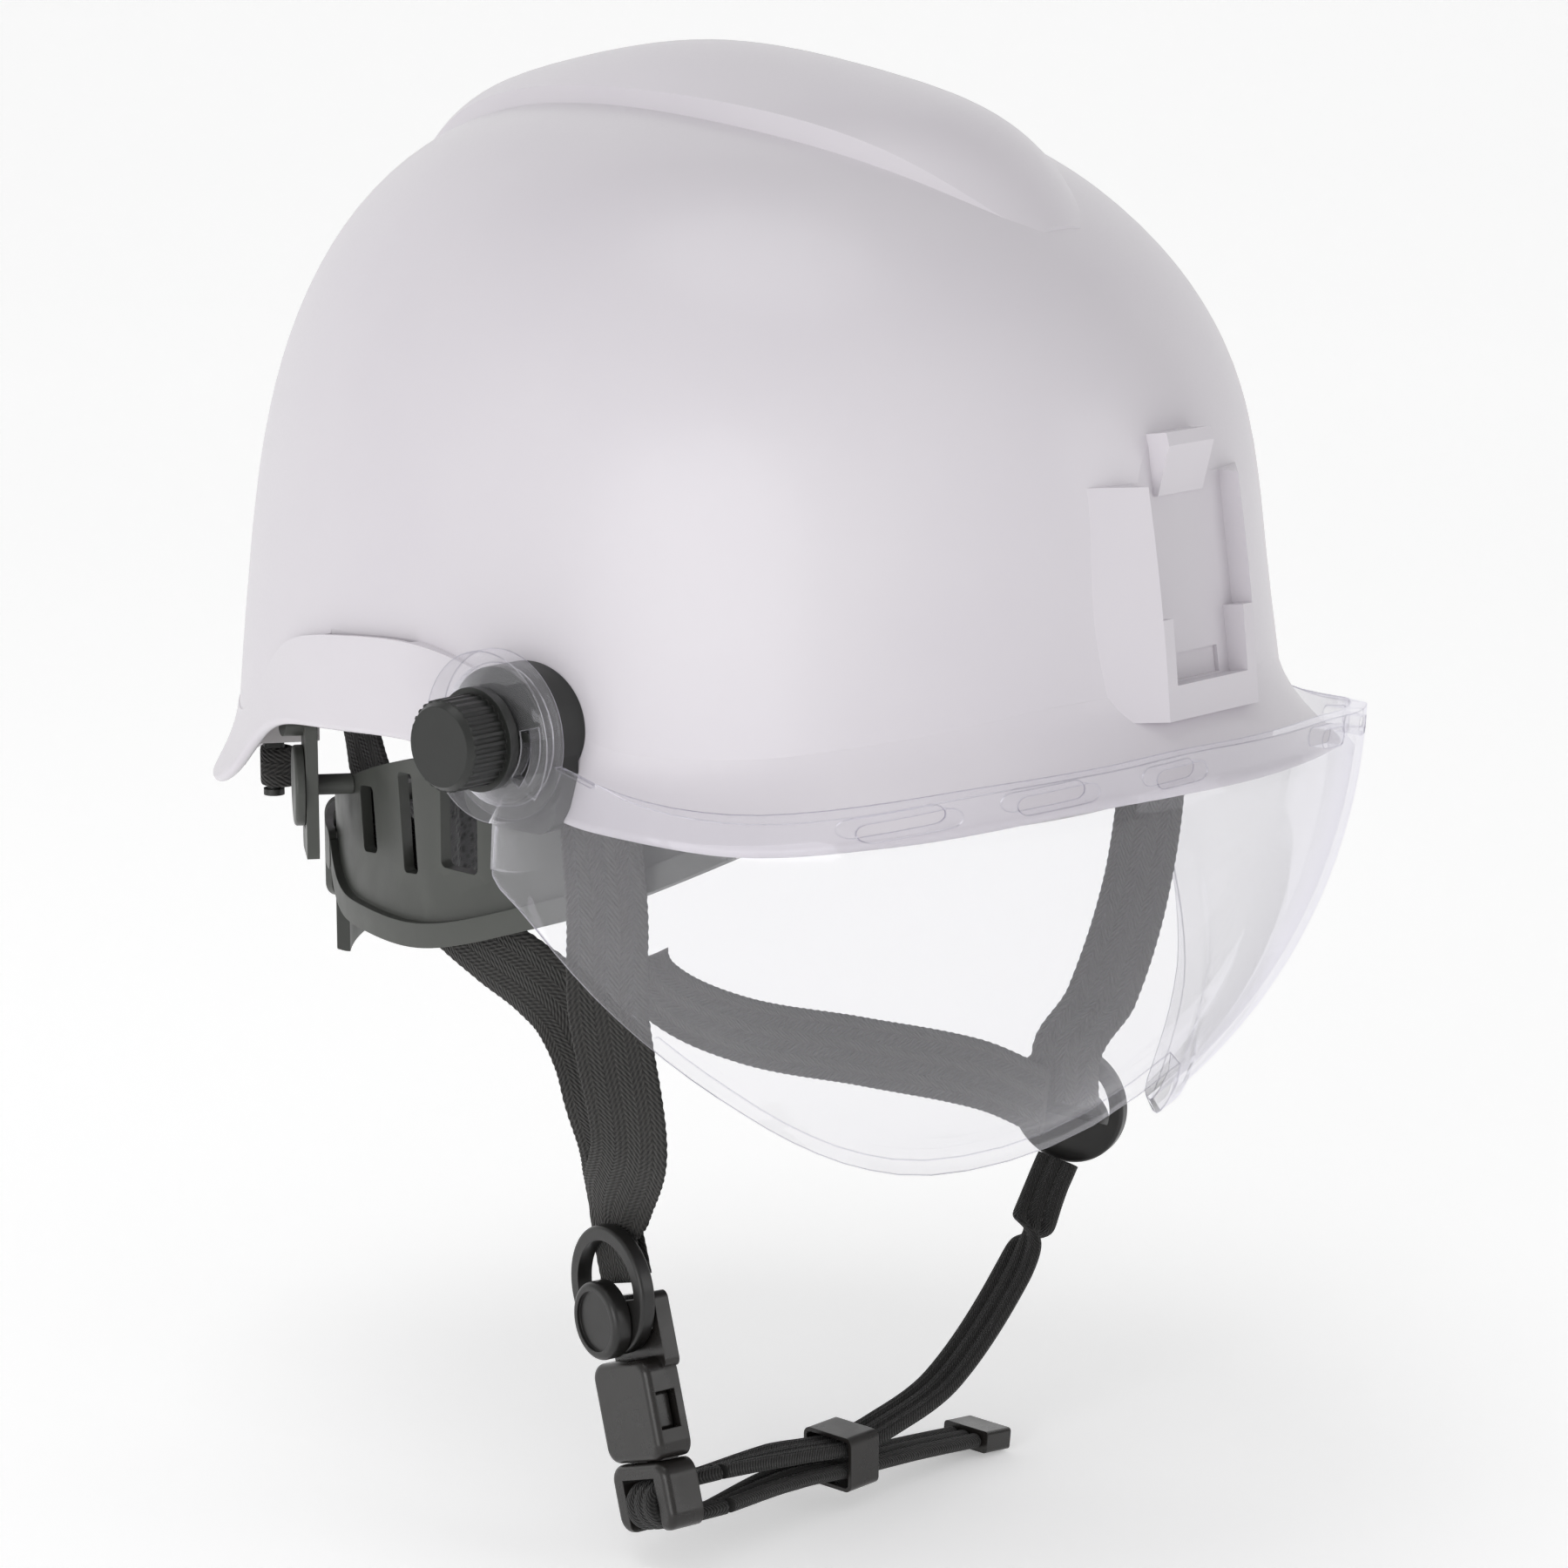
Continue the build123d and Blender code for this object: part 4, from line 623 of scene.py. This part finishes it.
def chin_piece(name, stations, replaced):
    """Three-channel tubular strap with a stitch line in each groove, on both faces."""
    rows = smooth_rows(stations)
    made = ribbon(name, rows, CHIN_WIDTH, CHIN_THICKNESS, channel_profile, CHIN_WEBBING, 36)
    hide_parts(replaced)
    mesh = bpy.data.meshes.new(f"{name}_stitches")
    build = bmesh.new()
    lift = channel_profile(1 / 3) * CHIN_THICKNESS / 2
    for face in (-1, 1):
        for place in (-1 / 3, 1 / 3):
            stitch_line(build, rows, place, face, lift, CHIN_WIDTH)
    bmesh.ops.recalc_face_normals(build, faces=build.faces)
    build.to_mesh(mesh)
    build.free()
    sewn = new_object(f"{name}_stitches", mesh, GREY_THREAD)
    return made, sewn


loop_start = at(0, BAR_HEIGHT + LAYER, BAR_DEPTH - LOOP_LEG - 0.4)
for piece in chin_piece("chin_strap_long", [
    (at(0, -14, -6.5, 1), LEFT_ALONG),
    (mm(65.5, -42.5, -125), LEFT_ALONG),
    (mm(50, -44, -145), ACROSS_CHIN),
    (mm(24, -44, -166), ACROSS_CHIN),
    (mm(0, -44, -172.4), ACROSS_CHIN),
    (mm(-14, -44, -173.2), ACROSS_CHIN),
    (mm(-36, -44.4, -170), ACROSS_CHIN),
    (loop_start, RIGHT_ALONG),
], "chin_strap"):
    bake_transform(piece)

tail_start = at(0, BAR_HEIGHT - LAYER, BAR_DEPTH - LOOP_LEG - 0.4)
for piece in chin_piece("chin_strap_free_end", [
    (tail_start, RIGHT_ALONG),
    (mm(-36, -45.2, -176), ACROSS_CHIN),
    (mm(-14, -44.5, -178.6), ACROSS_CHIN),
    (mm(10, -44, -181), ACROSS_CHIN),
    (mm(32, -44, -183.6), ACROSS_CHIN),
], "chin_strap_tail"):
    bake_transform(piece)

turn_steps = 8
loop_stations = [(at(0, BAR_HEIGHT + LAYER, BAR_DEPTH - LOOP_LEG), RIGHT_ALONG)]
for step in range(turn_steps + 1):
    turn = math.pi * step / turn_steps
    loop_stations.append((
        at(0, BAR_HEIGHT + LAYER * math.cos(turn), BAR_DEPTH + LAYER * math.sin(turn)),
        RIGHT_ALONG,
    ))
loop_stations.append((at(0, BAR_HEIGHT - LAYER, BAR_DEPTH - LOOP_LEG), RIGHT_ALONG))
for piece in chin_piece("chin_strap_turn", loop_stations, "chin_strap_loop"):
    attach(piece, "plug")


# ---------------------------------------------------------------- crown straps and hook loops
CROWN_TOP = 118.0
STRAP_RING = (96, 126)
STRAP_FOOT = 38.0
SHARES = (-1, -0.97, -0.93, -0.85, -0.7, -0.36, 0, 0.36, 0.7, 0.85, 0.93, 0.97, 1)


def crown_strap(name, bearing, layer):
    """Strap arching over the head between two opposite anchors."""
    turn = math.radians(bearing)
    run = Vector((math.sin(turn) * STRAP_RING[0], -math.cos(turn) * STRAP_RING[1], 0))
    crown = CROWN_TOP + layer * 1.8 - 0.75
    reach = run.length - 0.75
    stations = []
    for share in SHARES:
        height = STRAP_FOOT + (crown - STRAP_FOOT) * (1 - share ** 4) ** 0.6
        point = run.normalized() * share * reach + Vector((0, 0, height))
        stations.append((point * MM, UPRIGHT.cross(run)))
    strap(name, stations, tacks=((4, 14), (-14, -4)))


crown_strap("crown_strap_side", 90, 0)
crown_strap("crown_strap_diagonal_a", 32, 1)
crown_strap("crown_strap_diagonal_b", -32, 2)


HOOK_LEAN = math.radians(110)
HOOK_LOOP_RADII = (3.9 * MM, 2.5 * MM)
HOOK_LOOP_STEPS = 40
HOOK_LOOP_WIDTH = 10 * MM
HOOK_LOOP_THICKNESS = 1.2 * MM
HOOK_LOOP_INSET = 5.2 * MM      # of a loop's centre from the CAD loops' side


def hook_loops():
    """Two webbing loops that hang on the rear hook bars."""
    low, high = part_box("rear_hook_loops")
    for side in (-1, 1):
        centre = Vector((side * (high.x - HOOK_LOOP_INSET), (low.y + high.y) / 2, (low.z + high.z) / 2))
        lean = Vector((-side * math.cos(HOOK_LEAN), math.sin(HOOK_LEAN), 0))
        across = Vector((-lean.y, lean.x, 0))
        rows = []
        for step in range(HOOK_LOOP_STEPS):
            turn = 2 * math.pi * step / HOOK_LOOP_STEPS
            spot = [
                centre + lean * (HOOK_LOOP_RADII[0] * math.cos(angle))
                + across * (HOOK_LOOP_RADII[1] * math.sin(angle))
                for angle in (turn, turn + 0.01)
            ]
            along = (spot[1] - spot[0]).normalized()
            rows.append((spot[0], UPRIGHT, along.cross(UPRIGHT), step * 0.5 * MM))
        name = "rear_hook_loop_right" if side < 0 else "rear_hook_loop_left"
        made = ribbon(
            name, rows, HOOK_LOOP_WIDTH, HOOK_LOOP_THICKNESS, flat_profile, WEBBING, 14, closed=True,
        )
        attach(made, "helmet")
    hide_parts("rear_hook_loops")


hook_loops()


# ---------------------------------------------------------------- padding
PUFF_PRESSURE = 4
PUFF_FRAMES = 20
PAD_VOXEL = 2.5 * MM
PAD_INSET = 0.8 * MM            # of the slab from the CAD pad, before it swells
CHANNEL_WIDTH = 1.1 * MM
CHANNEL_DEPTH = 1.2 * MM


def swell(piece, cap):
    """Puffs a closed mesh up like a filled cover, with no point moving further than the cap."""
    bpy.context.view_layer.objects.active = piece
    remesh = piece.modifiers.new("remesh", "REMESH")
    remesh.mode = "VOXEL"
    remesh.voxel_size = PAD_VOXEL
    bpy.ops.object.modifier_apply(modifier=remesh.name)
    before = [vertex.co.copy() for vertex in piece.data.vertices]
    cloth = piece.modifiers.new("cloth", "CLOTH")
    cloth.settings.use_pressure = True
    cloth.settings.uniform_pressure_force = PUFF_PRESSURE
    cloth.settings.effector_weights.gravity = 0
    for number in range(1, PUFF_FRAMES + 1):
        bpy.context.scene.frame_set(number)
    bpy.ops.object.modifier_apply(modifier=cloth.name)
    bpy.context.scene.frame_set(1)
    for vertex, start in zip(piece.data.vertices, before):
        move = vertex.co - start
        if move.length > cap:
            vertex.co = start + move.normalized() * cap
    piece.data.shade_smooth()
    piece.modifiers.new("soften", "SUBSURF").levels = 1
    piece.modifiers["soften"].render_levels = 1
    bpy.ops.object.modifier_apply(modifier="soften")


def band_slab(name, inner, outer, foot, top, angles):
    """Curved slab between two offsets inside the headband, lower towards its ends.

    The angles are measured from the front.
    """
    build = bmesh.new()
    steps = 60
    middle = (foot + top) / 2
    half = (top - foot) / 2
    rings = []
    for step in range(steps + 1):
        share = step / steps
        turn = angles[0] + (angles[1] - angles[0]) * share
        height = half * min(1.0, 0.55 + 4.05 * min(share, 1 - share))
        ring = []
        for offset, level in ((inner, foot), (outer, foot), (outer, top), (inner, top)):
            z = middle + (level - middle) * height / half
            ring.append(build.verts.new((
                math.sin(turn) * (BAND_HALF_WIDTH + offset),
                -math.cos(turn) * (BAND_HALF_LENGTH + offset),
                z,
            )))
        rings.append(ring)
    for near, far in zip(rings, rings[1:]):
        for step in range(4):
            after = (step + 1) % 4
            build.faces.new((near[step], near[after], far[after], far[step]))
    build.faces.new(reversed(rings[0]))
    build.faces.new(rings[-1])
    bmesh.ops.recalc_face_normals(build, faces=build.faces)
    mesh = bpy.data.meshes.new(name)
    build.to_mesh(mesh)
    build.free()
    return new_object(name, mesh, KNIT)


def quilt(piece, spacing):
    """Presses sewn channels into a pad's inner face, square to the band."""
    inner_face = 1 - (BAND_WALL + 3 * MM) / BAND_HALF_LENGTH
    for vertex in piece.data.vertices:
        spot = vertex.co
        turn = math.atan2(spot.x / BAND_HALF_WIDTH, -spot.y / BAND_HALF_LENGTH)
        radius = math.hypot(spot.x / BAND_HALF_WIDTH, spot.y / BAND_HALF_LENGTH)
        arc = turn * (BAND_HALF_WIDTH + BAND_HALF_LENGTH) / 2
        groove = math.exp(-(((arc + spacing / 2) % spacing - spacing / 2) / CHANNEL_WIDTH) ** 2)
        if radius < inner_face:
            outward = Vector((spot.x, spot.y, 0)).normalized()
            vertex.co = spot + outward * CHANNEL_DEPTH * groove


def brow_pad():
    low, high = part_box("brow_pad")
    made = band_slab(
        "brow_pad_foam", -BAND_WALL - 5.4 * MM, -BAND_WALL - 0.9 * MM,
        low.z + PAD_INSET, high.z - PAD_INSET, (math.radians(-49), math.radians(49)),
    )
    swell(made, 0.7 * MM)
    quilt(made, 14 * MM)
    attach(made, "headband")
    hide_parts("brow_pad")


def nape_pad():
    low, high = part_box("nape_pad")
    made = band_slab(
        "nape_pad_foam", -BAND_WALL - 5.8 * MM, -BAND_WALL - 0.9 * MM,
        low.z + PAD_INSET, high.z - PAD_INSET, (math.radians(148), math.radians(212)),
    )
    swell(made, 0.7 * MM)
    quilt(made, 16 * MM)
    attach(made, "nape")
    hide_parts("nape_pad")


def crown_pad():
    """Oval ring of foam under the crossing straps, with a rolled edge."""
    low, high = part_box("crown_pad")
    outer = Vector((high.x, high.y)) - Vector((1 * MM, 1 * MM))
    inner = Vector((12 * MM, 16 * MM))
    build = bmesh.new()
    steps = 72
    rings = []
    for step in range(steps):
        turn = 2 * math.pi * step / steps
        ring = []
        for radii, level in ((inner, low.z), (outer, low.z), (outer, high.z), (inner, high.z)):
            lift = PAD_INSET if level == low.z else -PAD_INSET
            ring.append(build.verts.new((
                radii.x * math.cos(turn), radii.y * math.sin(turn), level + lift,
            )))
        rings.append(ring)
    for step in range(steps):
        near = rings[step]
        far = rings[(step + 1) % steps]
        for corner in range(4):
            after = (corner + 1) % 4
            build.faces.new((near[corner], near[after], far[after], far[corner]))
    bmesh.ops.recalc_face_normals(build, faces=build.faces)
    mesh = bpy.data.meshes.new("crown_pad_foam")
    build.to_mesh(mesh)
    build.free()
    made = new_object("crown_pad_foam", mesh, KNIT)
    swell(made, 0.8 * MM)
    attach(made, "helmet")
    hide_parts("crown_pad")


brow_pad()
nape_pad()
crown_pad()


# ---------------------------------------------------------------- floor, light and camera
AZIMUTH = math.radians(-47)
ELEVATION = math.radians(12.3)
CAMERA_DISTANCE = 1.197
TARGET = Vector((0.00143, -0.0107, -0.0156))
LENS = 112.5
FILM_WIDTH = 36
FLOOR_FRONT = 4.0               # metres from the object to the floor's front edge
FLOOR_BACK = 2.0
FLOOR_HALF_WIDTH = 6.0
SWEEP_RADIUS = 1.5
SWEEP_TOP = 5.0


def studio():
    """Pale floor that sweeps up behind the object, under a pale sky."""
    back = Vector((-math.sin(AZIMUTH), math.cos(AZIMUTH), 0))
    across = Vector((math.cos(AZIMUTH), math.sin(AZIMUTH), 0))
    floor_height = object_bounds()[0][2] - 0.5 * MM
    profile = [(-FLOOR_FRONT, 0.0), (FLOOR_BACK, 0.0)]
    for degrees in range(10, 91, 10):
        turn = math.radians(degrees)
        profile.append((
            FLOOR_BACK + SWEEP_RADIUS * math.sin(turn), SWEEP_RADIUS * (1 - math.cos(turn)),
        ))
    profile.append((FLOOR_BACK + SWEEP_RADIUS, SWEEP_TOP))
    build = bmesh.new()
    rows = [
        [
            build.verts.new(back * reach + across * width + Vector((0, 0, floor_height + height)))
            for width in (-FLOOR_HALF_WIDTH, FLOOR_HALF_WIDTH)
        ]
        for reach, height in profile
    ]
    for near, far in zip(rows, rows[1:]):
        build.faces.new((near[0], near[1], far[1], far[0])).smooth = True
    mesh = bpy.data.meshes.new("studio_sweep")
    build.to_mesh(mesh)
    build.free()
    made = Material("studio_paper")
    grain = made.noise(3 * MM, 3.0)
    made.join(made.mix(grain, rgba((0.93, 0.93, 0.93)), rgba((0.95, 0.95, 0.95))), "Base Color")
    made.shader.inputs["Roughness"].default_value = 0.9
    made.shader.inputs["Emission Color"].default_value = rgba((1, 1, 1))
    made.shader.inputs["Emission Strength"].default_value = 0.3
    new_object("studio_sweep", mesh, made.material)


def sky():
    """Pale surround, brighter from the wearer's right and the floor than from above and behind."""
    world = bpy.data.worlds.new("studio_sky")
    world.use_nodes = True
    tree = world.node_tree
    place = tree.nodes.new("ShaderNodeTexCoord")
    toward = tree.nodes.new("ShaderNodeVectorMath")
    toward.operation = "DOT_PRODUCT"
    toward.inputs[1].default_value = Vector((-0.8, -0.15, -0.55)).normalized()
    level = tree.nodes.new("ShaderNodeMapRange")
    for name, value in (("From Min", -1), ("From Max", 1), ("To Min", 0.3), ("To Max", 0.75)):
        level.inputs[name].default_value = value
    seen = tree.nodes.new("ShaderNodeLightPath")
    chosen = tree.nodes.new("ShaderNodeMix")
    chosen.inputs[3].default_value = 1.0
    tree.links.new(place.outputs["Generated"], toward.inputs[0])
    tree.links.new(toward.outputs["Value"], level.inputs["Value"])
    tree.links.new(seen.outputs["Is Camera Ray"], chosen.inputs[0])
    tree.links.new(level.outputs["Result"], chosen.inputs[2])
    tree.links.new(chosen.outputs[0], tree.nodes["Background"].inputs["Strength"])
    tree.nodes["Background"].inputs["Color"].default_value = (1, 1, 1, 1)
    bpy.context.scene.world = world


def area_light(name, place, size, power):
    data = bpy.data.lights.new(name, "AREA")
    data.shape = "DISK"
    data.size = size
    data.energy = power
    lamp = bpy.data.objects.new(name, data)
    bpy.context.scene.collection.objects.link(lamp)
    lamp.location = place
    lamp.rotation_euler = (TARGET - Vector(place)).to_track_quat("-Z", "Y").to_euler()


def camera():
    data = bpy.data.cameras.new("camera")
    data.lens = LENS
    data.sensor_width = FILM_WIDTH
    data.clip_start = 0.01
    made = bpy.data.objects.new("camera", data)
    bpy.context.scene.collection.objects.link(made)
    away = Vector((
        math.sin(AZIMUTH) * math.cos(ELEVATION),
        -math.cos(AZIMUTH) * math.cos(ELEVATION),
        math.sin(ELEVATION),
    ))
    made.location = TARGET + away * CAMERA_DISTANCE
    made.rotation_euler = (-away).to_track_quat("-Z", "Y").to_euler()
    bpy.context.scene.camera = made


studio()
sky()
area_light("key", (-1.75, -0.25, 0.1), 1.3, 11)
area_light("overhead", (-0.5, 0.1, 1.9), 1.2, 6)
area_light("front", (0.6, -1.7, 0.5), 1.0, 4)
bpy.context.scene.view_settings.view_transform = "Standard"
camera()
